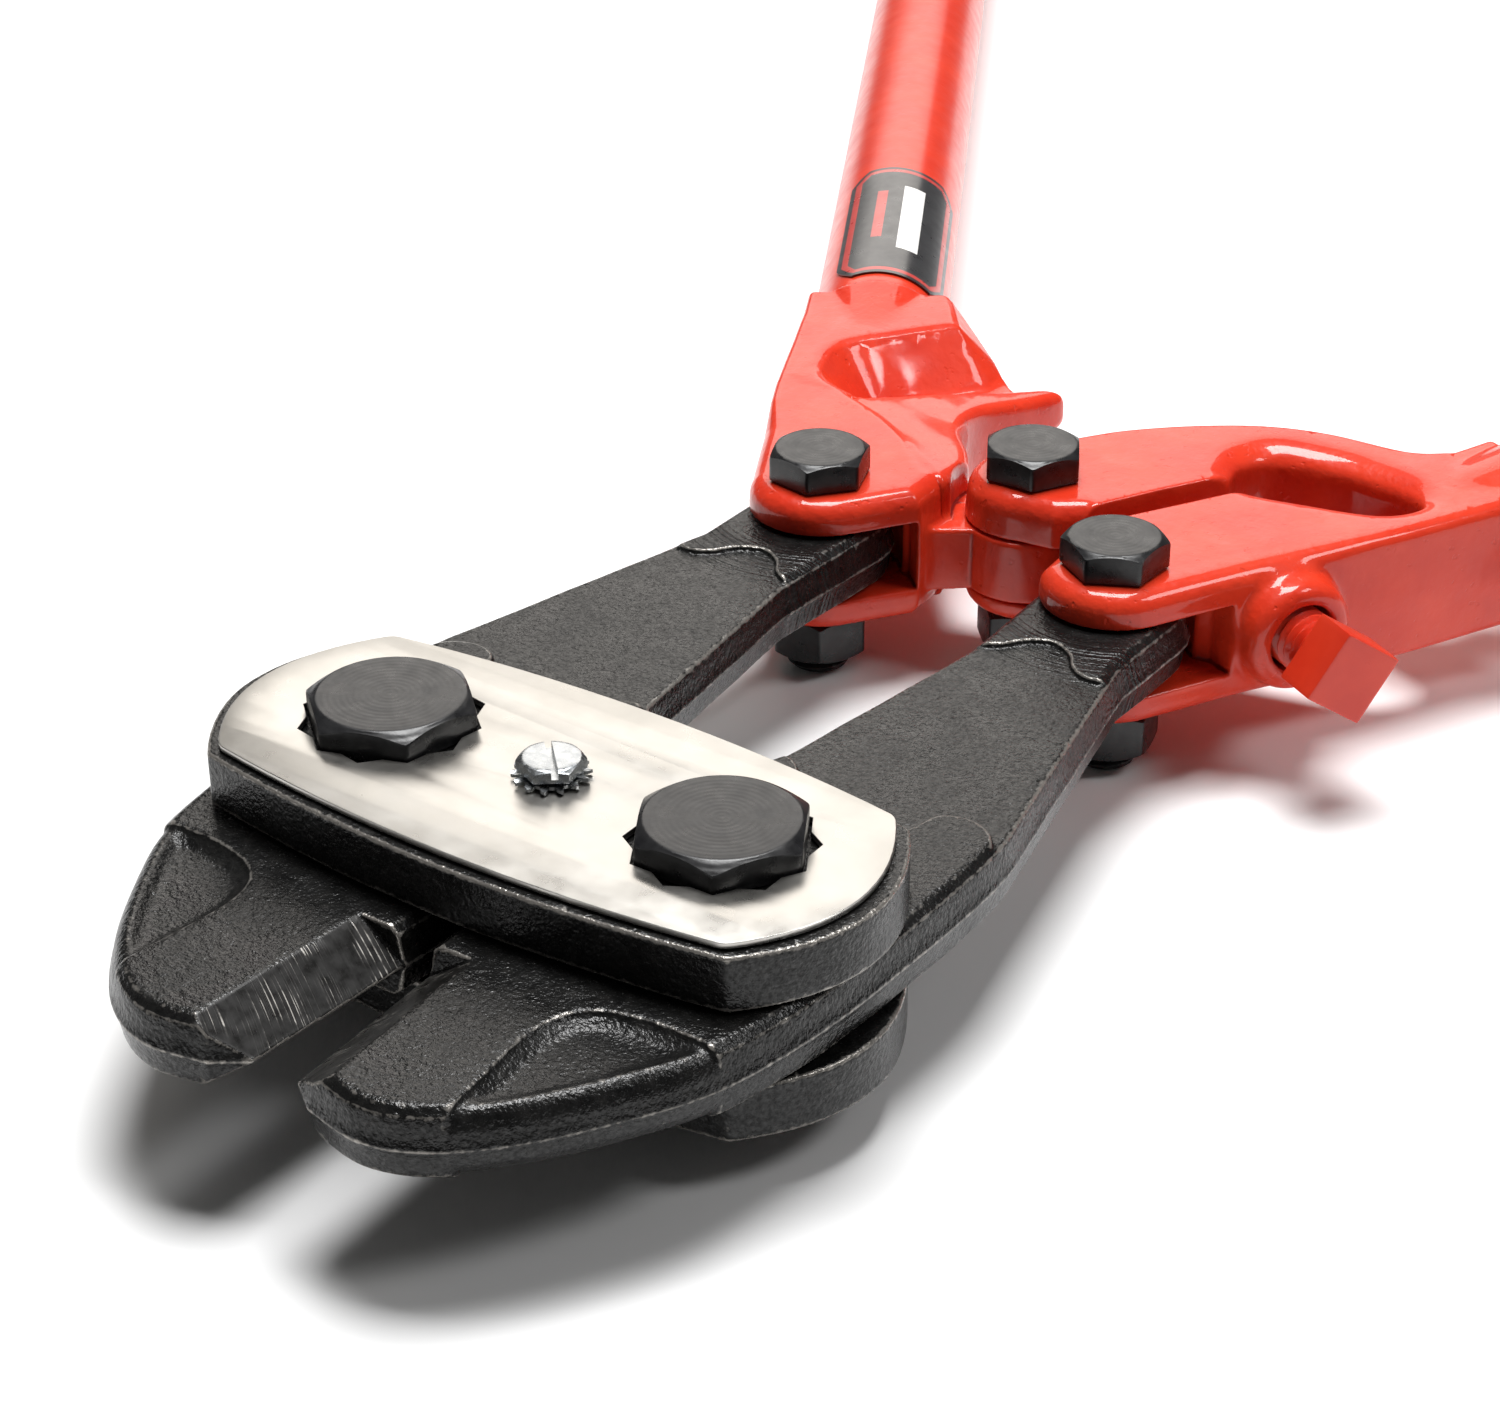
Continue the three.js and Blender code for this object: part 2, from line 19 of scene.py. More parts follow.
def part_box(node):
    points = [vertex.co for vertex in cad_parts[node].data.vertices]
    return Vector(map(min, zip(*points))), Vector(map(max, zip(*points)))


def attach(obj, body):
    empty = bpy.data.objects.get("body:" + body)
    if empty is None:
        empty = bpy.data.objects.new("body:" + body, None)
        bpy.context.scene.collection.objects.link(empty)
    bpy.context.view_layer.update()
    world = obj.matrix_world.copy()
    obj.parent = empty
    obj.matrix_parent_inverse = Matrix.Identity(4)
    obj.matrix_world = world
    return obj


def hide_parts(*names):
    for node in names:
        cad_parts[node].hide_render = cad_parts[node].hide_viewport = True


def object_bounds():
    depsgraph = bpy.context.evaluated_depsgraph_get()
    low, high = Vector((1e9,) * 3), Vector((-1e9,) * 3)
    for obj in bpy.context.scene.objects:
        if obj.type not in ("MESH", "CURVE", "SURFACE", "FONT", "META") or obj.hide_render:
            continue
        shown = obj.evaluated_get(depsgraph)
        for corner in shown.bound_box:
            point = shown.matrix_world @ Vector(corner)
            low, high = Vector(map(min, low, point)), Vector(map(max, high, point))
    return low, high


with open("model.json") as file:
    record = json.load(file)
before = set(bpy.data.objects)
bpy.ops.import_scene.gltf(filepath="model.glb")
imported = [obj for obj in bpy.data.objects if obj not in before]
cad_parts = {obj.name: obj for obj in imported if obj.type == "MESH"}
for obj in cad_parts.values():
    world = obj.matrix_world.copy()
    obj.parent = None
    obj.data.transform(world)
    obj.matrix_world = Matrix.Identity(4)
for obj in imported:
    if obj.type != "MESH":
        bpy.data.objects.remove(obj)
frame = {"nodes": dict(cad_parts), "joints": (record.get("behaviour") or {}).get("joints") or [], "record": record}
cad_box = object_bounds()

MM = 0.001
LEFT, RIGHT = -1, 1
SIDES = {"left": LEFT, "right": RIGHT}
GAP = 0.3  # between neighbouring pieces, as in the CAD
BODY_OF = {node: body
           for body, nodes in frame["record"]["behaviour"]["bodies"].items() for node in nodes}


# ---- Places taken from the frame ----
def box_mm(node):
    """Lowest and highest corner of a CAD node, z as packed."""
    low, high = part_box(node)
    return np.array(low) / MM, np.array(high) / MM


def joint_point(name):
    joint = next(j for j in frame["joints"] if j["name"] == name)
    return np.array(joint["pos_m"][:2]) / MM


jaw_low, jaw_high = box_mm("jaw_right")
MIDDLE_Z = (jaw_low[2] + jaw_high[2]) / 2
JAW_HALF = (jaw_high[2] - jaw_low[2]) / 2
JAW_PIVOT_X = joint_point("jaw_right_turn")[0]
HEEL_X, HEEL_Y = joint_point("handle_right_swing")
BOSS = joint_point("adjuster_turn")
HANDLE_ANGLE = math.radians(30)
SINE, COSINE = math.sin(HANDLE_ANGLE), math.cos(HANDLE_ANGLE)
BOSS_ANGLE = math.radians(-30)
BOSS_AXIS = math.cos(BOSS_ANGLE), math.sin(BOSS_ANGLE)


def span(node):
    """Lowest and highest height of a node above the mid-plane."""
    low, high = box_mm(node)
    return low[2] - MIDDLE_Z, high[2] - MIDDLE_Z


def centre_of(node):
    low, high = box_mm(node)
    return (low[:2] + high[:2]) / 2


CENTRE_Y = centre_of("centre_bolt")[1]
JAW_SHANK, HEEL_SHANK = 9.5, 7.0
PLATE_HOLE = 3.47
CAST_HALF = -span("heel_nut_left")[1] - GAP
TONGUE = (-9.4, 4.9)  # lowest and highest height of the left casting's tongue
EAR_RADIUS, ARM_RADIUS = 14.3, 15.3
TUBE_GAP = 0.6
CHAMFER = 0.62  # fall of a bolt head's chamfer for each millimetre outwards
FACE_SHARE = 0.475  # radius of its flat top over the width across flats
BLACK_STEP, CASTING_STEP = 0.42, 0.46  # sizes of the cubes, for black pieces and castings
ROUND = 144  # steps round a bolt, nut or screw


def tube_axis(side):
    """The end of a casting on its tube's axis, the axis's direction, the distance from there
    to the tube's far end, and the tube's radius."""
    low, high = box_mm("handle_tube_left" if side == LEFT else "handle_tube_right")
    radius = (high[2] - low[2]) / 2
    near_x = high[0] - radius * COSINE if side == LEFT else low[0] + radius * COSINE
    direction = np.array([side * SINE, COSINE])
    start = np.array([near_x, low[1] + radius * SINE]) - TUBE_GAP * direction
    length = (high[1] - radius * SINE - start[1]) / COSINE
    return start, direction, length, radius


# ---- Camera, light and floor ----
def add_object(name, data):
    made = bpy.data.objects.new(name, data)
    bpy.context.scene.collection.objects.link(made)
    return made


def facing(position, target):
    """The place of a camera or light that looks from one point to another, in metres."""
    place, aim = Vector(position), Vector(target)
    turn = (aim - place).to_track_quat("-Z", "Y").to_matrix().to_4x4()
    return Matrix.Translation(place) @ turn


def make_camera():
    """Thirty degrees above the tool, from in front of the right jaw."""
    data = bpy.data.cameras.new("camera")
    data.sensor_width = 36
    data.lens = 82.4
    data.clip_start = 0.02
    data.clip_end = 30
    camera = add_object("camera", data)
    view = facing((0.32843, -0.39804, 0.34733), (0.016534, 0.036482, 0.03995))
    camera.matrix_world = view @ Matrix.Rotation(-0.0063, 4, "Z")
    bpy.context.scene.camera = camera


def area_light(name, position, target, size, watts, colour=(1, 1, 1)):
    data = bpy.data.lights.new(name, "AREA")
    data.shape = "RECTANGLE"
    data.size, data.size_y = size
    data.energy = watts
    data.color = colour
    add_object(name, data).matrix_world = facing(position, target)


def make_studio():
    world = bpy.data.worlds.new("studio")
    world.use_nodes = True
    background = world.node_tree.nodes["Background"]
    background.inputs["Color"].default_value = (1.0, 0.99, 0.97, 1)
    background.inputs["Strength"].default_value = 0.09
    bpy.context.scene.world = world
    area_light("back_softbox", (-1.15, 1.75, 1.15), (0, 0.1, 0), (1.45, 1.3), 13,
               (1.0, 0.95, 0.89))
    area_light("top_softbox", (-0.1, 0.35, 1.5), (0, 0.05, 0), (0.8, 0.62), 35)
    area_light("highlight_card", (0.846, 0.221, 1.352), (-0.054, 0.199, 0.03), (0.055, 0.05),
               0.2)
    area_light("side_softbox", (1.18, 0.53, 1.38), (0.05, 0.15, 0), (0.5, 0.4), 7.2)
    bpy.context.scene.view_settings.view_transform = "Standard"

    reach, clearance = 4.0, 0.0005
    height = cad_box[0].z - clearance
    corners = [(-reach, -reach), (reach, -reach), (reach, reach), (-reach, reach)]
    mesh = bpy.data.meshes.new("floor")
    mesh.from_pydata([(x, y, height) for x, y in corners], [], [(0, 1, 2, 3)])
    mesh.materials.append(Finish("floor_paper", (0.88, 0.88, 0.88), 0.9).material)
    add_object("floor", mesh)


# ---- Materials ----
class Finish:
    """A Principled material and the procedural textures that feed it."""

    def __init__(self, name, colour, roughness, metallic=0.0, **sockets):
        self.material = bpy.data.materials.new(name)
        self.material.use_nodes = True
        self.tree = self.material.node_tree
        self.shader = self.tree.nodes["Principled BSDF"]
        self.feed("Base Color", (*colour, 1))
        self.feed("Roughness", roughness)
        self.feed("Metallic", metallic)
        for socket, value in sockets.items():
            self.feed(socket.replace("_", " "), value)
        self.place = self.node("TexCoord").outputs["Object"]
        self.normal = None

    def connect(self, socket, value):
        """Links an output to a socket, or else sets the socket's own value."""
        if isinstance(value, bpy.types.NodeSocket):
            self.tree.links.new(value, socket)
        else:
            socket.default_value = value

    def node(self, kind, settings=None, **inputs):
        made = self.tree.nodes.new("ShaderNode" + kind)
        for key, value in (settings or {}).items():
            setattr(made, key, value)
        for key, value in inputs.items():
            self.connect(made.inputs[key.replace("_", " ")], value)
        return made

    def noise(self, size, detail=2.0, roughness=0.5):
        """Noise whose features are about `size` millimetres across."""
        made = self.node("TexNoise", Vector=self.place, Scale=1 / (size * MM),
                         Detail=detail, Roughness=roughness)
        return made.outputs["Fac"]

    def rings(self, spacing, distortion):
        """Circles about the Z axis of the piece, `spacing` millimetres apart."""
        made = self.node("TexWave", {"wave_type": "RINGS", "rings_direction": "Z"},
                         Vector=self.place, Scale=0.314 / (spacing * MM),
                         Distortion=distortion, Detail=2.0, Detail_Scale=1.5)
        return made.outputs["Fac"]

    def distance(self, centre):
        """Distance in plan from a point (mm) and from its mirror image."""
        sides = self.node("VectorMath", {"operation": "ABSOLUTE"}, Vector=self.place)
        away = self.node("Mapping", Vector=sides.outputs["Vector"], Scale=(1, 1, 0),
                         Location=(-centre[0] * MM, -centre[1] * MM, 0))
        return self.node("VectorMath", {"operation": "LENGTH"},
                         Vector=away.outputs["Vector"]).outputs["Value"]

    def arcs(self, spacing, centre):
        """Uneven circular scratches about a point."""
        made = self.node("TexNoise", {"noise_dimensions": "1D"}, W=self.distance(centre),
                         Scale=1 / (spacing * MM), Detail=1.5, Roughness=0.6)
        return made.outputs["Fac"]

    def band(self, centre, inner, outer):
        """One midway between two radii about a point, falling to nothing at either."""
        middle, half = (inner + outer) / 2, (outer - inner) / 2
        away = self.pair("SUBTRACT", self.distance(centre), middle * MM)
        return self.remap(self.pair("ABSOLUTE", away, 0.0), 0.4 * half * MM, half * MM, 1, 0)

    def remap(self, value, low, high, to_low, to_high):
        made = self.node("MapRange", Value=value, From_Min=low, From_Max=high, To_Min=to_low,
                         To_Max=to_high)
        return made.outputs["Result"]

    def pair(self, operation, first, second):
        made = self.node("Math", {"operation": operation})
        for socket, value in zip(made.inputs, (first, second)):
            self.connect(socket, value)
        return made.outputs["Value"]

    def edge(self):
        """How sharp the surface is here: above zero on edges, below zero in corners."""
        return self.node("Attribute", {"attribute_name": "edge"}).outputs["Fac"]

    def mix(self, share, first, second):
        """A textured colour, giving way to the plain second one where the share nears one."""
        made = self.node("Mix", {"data_type": "RGBA"})
        for index, value in ((0, share), (6, first), (7, (*second, 1))):
            self.connect(made.inputs[index], value)
        return made.outputs[2]

    def worn(self, low, high, spread):
        """A ragged mask of the sharp edges."""
        ragged = self.remap(self.noise(1.3, 3), 0.3, 0.7, -spread, spread)
        return self.remap(self.pair("ADD", self.edge(), ragged), low, high, 0, 1)

    def colours(self, value, stops):
        ramp = self.node("ValToRGB", Fac=value)
        elements = ramp.color_ramp.elements
        while len(elements) < len(stops):
            elements.new(0.5)
        for element, (position, colour) in zip(elements, stops):
            element.position = position
            element.color = (*colour, 1)
        return ramp.outputs["Color"]

    def feed(self, socket, value):
        self.connect(self.shader.inputs[socket], value)

    def paint(self, value, *stops):
        self.feed("Base Color", self.colours(value, stops))

    def wander(self, socket, size, detail, low, high):
        """Lets a socket drift between two values."""
        self.feed(socket, self.remap(self.noise(size, detail), 0.3, 0.7, low, high))

    def bump(self, height, depth, strength=1.0):
        """Adds relief `depth` millimetres high under what is already there."""
        made = self.node("Bump", Height=height, Strength=strength, Distance=depth * MM)
        if self.normal is not None:
            self.tree.links.new(self.normal, made.inputs["Normal"])
        self.normal = made.outputs["Normal"]
        self.feed("Normal", self.normal)
        return self


def make_enamel(name, wave, gloss):
    """Thick glossy orange-red paint; `wave` is the relief of the metal under it. Its colour is darkened by painted
    shade in concave corners.
    """
    finish = Finish(name, (0.60, 0.028, 0.010), 0.36, Coat_Weight=0.58,
                    Coat_Roughness=gloss, Coat_IOR=1.5, Specular_IOR_Level=0.12)
    paint = finish.colours(finish.noise(14, 3), [
        (0.32, (0.58, 0.028, 0.010)), (0.55, (0.64, 0.037, 0.013)), (0.75, (0.69, 0.047, 0.017))])
    # Painted shade: the base colour darkens towards a deep red in concave corners
    corners = finish.remap(finish.edge(), -0.42, -0.10, 1, 0)
    finish.feed("Base Color", finish.mix(corners, paint, (0.24, 0.006, 0.003)))
    finish.wander("Roughness", 5, 3, 0.30, 0.44)
    finish.bump(finish.noise(6.5, 1.5), wave)
    finish.bump(finish.noise(2.1, 2), wave * 0.9)
    pits = finish.remap(finish.noise(2.4, 2), 0.66, 0.74, 1, 0)
    return finish.bump(pits, wave * 0.6).material


def make_forged():
    """Black oxide over the grain of a drop forging, rubbed bright along its edges."""
    finish = Finish("forged_black", (0.012, 0.012, 0.012), 0.4, Specular_IOR_Level=0.36)
    oxide = finish.colours(finish.noise(2.5, 5, 0.6), [
        (0.35, (0.004, 0.004, 0.004)), (0.60, (0.009, 0.0088, 0.0085)),
        (0.78, (0.020, 0.0188, 0.0175))])
    rubbed = finish.worn(0.21, 0.48, 0.12)
    finish.feed("Base Color", finish.mix(rubbed, oxide, (0.32, 0.30, 0.275)))
    finish.feed("Metallic", finish.remap(rubbed, 0, 1, 0, 0.7))
    finish.wander("Roughness", 9, 3, 0.20, 0.33)
    grain = finish.noise(0.8, 3, 0.6)
    finish.feed("Specular IOR Level", finish.remap(grain, 0.36, 0.64, 0.20, 0.44))
    heel = (HEEL_X, HEEL_Y)
    swirls = finish.pair("MULTIPLY", finish.arcs(0.9, heel), finish.band(heel, 17, 34))
    finish.bump(finish.noise(8, 2), 0.16)
    finish.bump(swirls, 0.4)
    finish.bump(finish.noise(1.7, 2), 0.13)
    return finish.bump(finish.noise(0.9, 2, 0.6), 0.25).material


def make_ground():
    """The knife bevel: dark steel with the arcs of a grinding wheel."""
    finish = Finish("ground_steel", (0.03, 0.027, 0.025), 0.34, 0.4)
    wheel = (30, 110)
    arcs = finish.remap(finish.arcs(0.42, wheel), 0.52, 0.68, 0, 1)
    patches = finish.remap(finish.noise(6, 4, 0.6), 0.42, 0.62, 0.08, 1.0)
    marks = finish.pair("MULTIPLY", arcs, patches)
    finish.paint(marks, (0.05, (0.008, 0.0075, 0.007)), (0.50, (0.035, 0.033, 0.030)),
                 (0.95, (0.42, 0.40, 0.37)))
    finish.wander("Roughness", 2.5, 3, 0.24, 0.46)
    return finish.bump(marks, 0.03).material


def make_bolt_black():
    """Black oxide with the faint rings of a facing tool."""
    finish = Finish("bolt_black", (0.010, 0.010, 0.011), 0.32, Specular_IOR_Level=0.42)
    finish.paint(finish.noise(2.5, 4), (0.35, (0.006, 0.006, 0.007)),
                 (0.75, (0.018, 0.018, 0.019)))
    finish.wander("Roughness", 3.5, 3, 0.24, 0.38)
    finish.bump(finish.noise(1.6, 3), 0.035)
    return finish.bump(finish.rings(1.15, 0.4), 0.014).material


def make_nickel():
    """Bright plating with a slow ripple."""
    finish = Finish("nickel_plate", (0.56, 0.53, 0.475), 0.2, 1.0)
    finish.paint(finish.noise(11, 3), (0.3, (0.49, 0.475, 0.445)), (0.7, (0.55, 0.535, 0.505)))
    finish.wander("Roughness", 7, 4, 0.26, 0.36)
    finish.bump(finish.noise(16, 2), 0.05)
    return finish.bump(finish.noise(1.2, 3), 0.006).material


def make_zinc():
    """The grey-blue plating of small hardware."""
    finish = Finish("zinc_plate", (0.42, 0.44, 0.46), 0.26, 1.0)
    finish.paint(finish.noise(2.2, 3), (0.3, (0.36, 0.38, 0.40)), (0.7, (0.55, 0.57, 0.58)))
    finish.wander("Roughness", 1.5, 3, 0.18, 0.36)
    return finish.bump(finish.noise(1.1, 3), 0.02).material


def make_rubber():
    """Dull black grip rubber."""
    finish = Finish("grip_rubber", (0.018, 0.018, 0.018), 0.7, Specular_IOR_Level=0.4)
    finish.paint(finish.noise(8, 4), (0.35, (0.013, 0.013, 0.013)), (0.7, (0.026, 0.026, 0.025)))
    finish.wander("Roughness", 6, 3, 0.6, 0.82)
    return finish.bump(finish.noise(0.7, 2), 0.05).material


def make_label_film(name, dark, light):
    """Printed vinyl, slightly uneven over the tube."""
    finish = Finish(name, dark, 0.3, Coat_Weight=0.4, Coat_Roughness=0.15)
    finish.paint(finish.noise(5, 3), (0.35, dark), (0.7, light))
    finish.wander("Roughness", 4, 3, 0.26, 0.38)
    return finish.bump(finish.noise(9, 2), 0.05).material


# ---- Signed distances ----
def join(a, b, fillet=0.0):
    """Union, with a fillet about `fillet` wide in the corner."""
    if not fillet:
        return np.minimum(a, b)
    near = np.maximum(fillet - np.abs(a - b), 0)
    return np.minimum(a, b) - near * near / (4 * fillet)


def cut(a, b, edge=0.0):
    return -join(-a, b, edge)


def common(a, b, edge=0.0):
    return -join(-a, -b, edge)


def arc(x, y, radius, first, last, steps=14):
    angles = np.radians(np.linspace(first, last, steps))
    return [(x + radius * math.cos(a), y + radius * math.sin(a)) for a in angles]


def curve(points, steps=6):
    """A smooth curve through the points (Catmull-Rom), its own ends included."""
    points = np.array(points, float)
    ends = [2 * points[0] - points[1], *points, 2 * points[-1] - points[-2]]
    made = []
    for a, b, c, d in zip(ends, ends[1:], ends[2:], ends[3:]):
        for t in np.arange(steps) / steps:
            made.append(0.5 * (2 * b + (c - a) * t + (2 * a - 5 * b + 4 * c - d) * t * t
                               + (3 * b - a - 3 * c + d) * t ** 3))
    return [tuple(p) for p in made] + [tuple(points[-1])]


class Block:
    """A block of cubes over which distances to a shape are held."""

    def __init__(self, low, high, step):
        self.low, self.step = np.array(low), step
        x, y, z = (np.arange(a, b + step, step, dtype=np.float32) for a, b in zip(low, high))
        self.x, self.y = x[:, None], y[None, :]
        self.x3, self.y3, self.z = x[:, None, None], y[None, :, None], z[None, None, :]
        self.half = np.abs(self.z)

    def plan(self, points):
        """Distance in plan to a closed outline, below zero inside it."""
        nearest = np.full((self.x.size, self.y.size), 1e9, np.float32)
        inside = np.zeros(nearest.shape, bool)
        for (ax, ay), (bx, by) in zip(points, [*points[1:], points[0]]):
            ex, ey = bx - ax, by - ay
            if ex * ex + ey * ey < 1e-9:
                continue
            wx, wy = self.x - ax, self.y - ay
            share = np.clip((wx * ex + wy * ey) / (ex * ex + ey * ey), 0, 1)
            nearest = np.minimum(nearest, (wx - ex * share) ** 2 + (wy - ey * share) ** 2)
            if ey:
                beside = ax + wy * (ex / ey) > self.x
                inside ^= ((ay <= self.y) != (by <= self.y)) & beside
        return np.where(inside, -1, 1).astype(np.float32) * np.sqrt(nearest)

    def disc(self, x, y, radius):
        return np.hypot(self.x - x, self.y - y) - radius

    def drilled(self, body, x, y, radius):
        """The body with a hole along Z, its rims slightly broken."""
        return cut(body, self.disc(x, y, radius)[:, :, None], 0.5)

    def prism(self, plan, low, high, edge=0.0, draft=0.0):
        """A plan raised from low to high, its rims rounded by `edge`, its sides leaning in
        by `draft` for each millimetre from the parting plane."""
        rise = np.abs(self.z - (low + high) / 2) - (high - low) / 2 + edge
        side = plan[:, :, None] + draft * self.half + edge
        outside = np.hypot(np.maximum(side, 0), np.maximum(rise, 0))
        return np.minimum(np.maximum(side, rise), 0) + outside - edge

    def along(self, start, direction):
        """Distance along an axis that lies in the mid-plane, and from it."""
        dx, dy = direction
        x, y = self.x3 - start[0], self.y3 - start[1]
        return x * dx + y * dy, np.hypot(y * dx - x * dy, self.z)

    def taper(self, start, direction, radii, reach, edge=0.0):
        """A cone or rod on such an axis: its radius and distance at each end."""
        s, r = self.along(start, direction)
        (r0, r1), (s0, s1) = radii, reach
        side = r - (r0 + (r1 - r0) * (s - s0) / (s1 - s0))
        ends = np.maximum(s0 - s, s - s1)
        return common(side, ends, edge)

    def unevenness(self, height, seed):
        """The slow waviness of a cast or forged skin."""
        random = np.random.default_rng(seed)
        total = np.float32(0)
        for _ in range(5):
            direction = random.normal(size=3)
            direction *= 2 * math.pi / (random.uniform(11, 26) * np.linalg.norm(direction))
            phase = random.uniform(0, 6.3)
            total = total + np.sin(direction[0] * self.x3 + direction[1] * self.y3
                                   + direction[2] * self.z + phase)
        return total * (height / 5)

    def between(self, field, points):
        """The field read between cubes, at points counted in cubes."""
        points = np.clip(points, 0, np.array(field.shape) - 1.01)
        base = points.astype(int)
        share = points - base
        total = 0
        for corner in itertools.product((0, 1), repeat=3):
            weight = np.prod(np.where(corner, share, 1 - share), axis=1)
            total = total + weight * field[tuple((base + corner).T)]
        return total

    def mesh(self, name, field, mirrored=False, simplify=0.01):
        """The surface of a shape. Its shading normals come from the distances themselves, and
        the attribute "edge" tells how sharp it is: above zero on edges, below in corners."""
        field = np.clip(field / self.step, -4, 4).astype(np.float32)
        grid = openvdb.FloatGrid()
        grid.copyFromArray(field)
        points, triangles, quads = grid.convertToPolygons(isovalue=0, adaptivity=simplify)
        reach = 1.4
        ahead = [self.between(field, points + reach * axis) for axis in np.eye(3)]
        behind = [self.between(field, points - reach * axis) for axis in np.eye(3)]
        normals = np.stack([a - b for a, b in zip(ahead, behind)], 1)
        sharpness = (sum(ahead) + sum(behind) - 6 * self.between(field, points)) / (2 * reach)
        points = points * self.step + self.low
        points[:, 2] += MIDDLE_Z
        if mirrored:
            points[:, 0] *= -1
            normals[:, 0] *= -1
        faces = [face[::-1] if mirrored else face
                 for face in (*triangles.tolist(), *quads.tolist())]
        mesh = bpy.data.meshes.new(name)
        mesh.from_pydata((points * MM).tolist(), [], faces)
        mesh.shade_smooth()
        lengths = np.maximum(np.linalg.norm(normals, axis=1), 1e-6)
        mesh.normals_split_custom_set_from_vertices((normals / lengths[:, None]).tolist())
        edge = mesh.attributes.new("edge", "FLOAT", "POINT")
        edge.data.foreach_set("value", np.clip(sharpness, -1, 1).astype(np.float32))
        return add_object(name, mesh)


# ---- Mesh helpers ----
def face_outwards(mesh, merge=0.0):
    """Turns a mesh's faces outwards, after joining points nearer than `merge` metres."""
    tidy = bmesh.new()
    tidy.from_mesh(mesh)
    if merge:
        bmesh.ops.remove_doubles(tidy, verts=tidy.verts, dist=merge)
    bmesh.ops.recalc_face_normals(tidy, faces=tidy.faces)
    tidy.to_mesh(mesh)
    tidy.free()


def mesh_object(name, points, faces):
    """An object from points in millimetres, its faces turned outwards."""
    mesh = bpy.data.meshes.new(name)
    mesh.from_pydata((np.asarray(points) * MM).tolist(), [], faces)
    face_outwards(mesh)
    return add_object(name, mesh)


def smooth(piece, angle):
    """Smooth shading across edges under `angle` degrees."""
    piece.data.shade_smooth()
    piece.data.set_sharp_from_angle(angle=math.radians(angle))
    return piece


def dress(piece, node, *materials):
    """The piece stands for a CAD node: it rides on its body and takes the materials given."""
    for material in materials:
        piece.data.materials.append(material)
    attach(piece, BODY_OF[node])
    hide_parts(node)


def evaluated_mesh(source):
    """What a curve, or a mesh with its modifiers, looks like as a plain mesh."""
    evaluated = source.evaluated_get(bpy.context.evaluated_depsgraph_get())
    return bpy.data.meshes.new_from_object(evaluated)


def revolve(name, rows, sides, closed=False):
    """A skin of rings about its own Z axis. Each row is a radius and a height, either of
    which may vary round the ring. Open rows are closed by a point at each end."""
    angles = np.arange(sides) * 2 * math.pi / sides
    rings = []
    for radius, height in rows:
        ring = np.broadcast_arrays(radius * np.cos(angles), radius * np.sin(angles), height)
        rings.append(np.stack(ring, 1))
    points = np.concatenate(rings)
    last = len(rows) if closed else len(rows) - 1
    faces = []
    for i in range(last):
        upper, lower = i * sides, ((i + 1) % len(rows)) * sides
        for k in range(sides):
            after = (k + 1) % sides
            faces.append((upper + k, upper + after, lower + after, lower + k))
    if not closed:
        for ring, first in ((rings[0], 0), (rings[-1], (len(rows) - 1) * sides)):
            pole = len(points)
            points = np.vstack([points, [[0, 0, ring[:, 2].mean()]]])
            faces += [(pole, first + k, first + (k + 1) % sides) for k in range(sides)]
    return mesh_object(name, points, faces)


def place(piece, origin, direction=None):
    """Stands a piece at a point of the mid-plane, its Z axis up or along `direction`."""
    turn = Matrix.Identity(4)
    if direction is not None:
        dx, dy = direction
        turn = Matrix(((-dy, 0, dx), (dx, 0, dy), (0, 1, 0))).to_4x4()
    piece.matrix_world = Matrix.Translation(Vector((*origin, MIDDLE_Z)) * MM) @ turn
    return piece


def corner_of(node, origin, direction=None):
    """Angle and radius of a CAD node's farthest corner from an axis through `origin`."""
    points = np.array([v.co for v in frame["nodes"][node].data.vertices]) / MM
    x, y = points[:, 0] - origin[0], points[:, 1] - origin[1]
    if direction is not None:
        dx, dy = direction
        x, y = y * dx - x * dy, points[:, 2] - MIDDLE_Z
    farthest = np.argmax(np.hypot(x, y))
    return math.atan2(y[farthest], x[farthest]), float(np.hypot(x, y)[farthest])


def prism_radius(across, corners, first_corner):
    """Radius round a prism with slightly rounded corners."""
    sharpness = 70
    angles = np.arange(ROUND) * 2 * math.pi / ROUND - first_corner - math.pi / corners
    faces = [np.abs(np.cos(angles - k * 2 * math.pi / corners)) ** sharpness
             for k in range(corners // 2)]
    return across / 2 * sum(faces) ** (-1 / sharpness)


def hexagon_of(node, origin):
    """The width across flats of a CAD hexagon, and its radius round the ring."""
    corner, radius = corner_of(node, origin)
    across = radius * math.sqrt(3)
    return across, prism_radius(across, 6, corner)


def thread_rows(radius, pitch, high, low):
    """Rows of a right-hand thread from height high down to low, with a lead at its end."""
    depth = 0.55 * pitch
    turn = np.arange(ROUND) / ROUND
    rows = []
    for height in np.arange(high, low, -pitch / 8):
        phase = np.abs(2 * ((height / pitch - turn) % 1) - 1)
        groove = np.clip(1.35 * phase - 0.15, 0, 1) * depth
        lead = max(0.0, pitch * 0.7 - (height - low))
        rows.append((np.minimum(radius - groove, radius - lead), height))
    rows.append((radius - pitch * 0.75, low))
    return rows


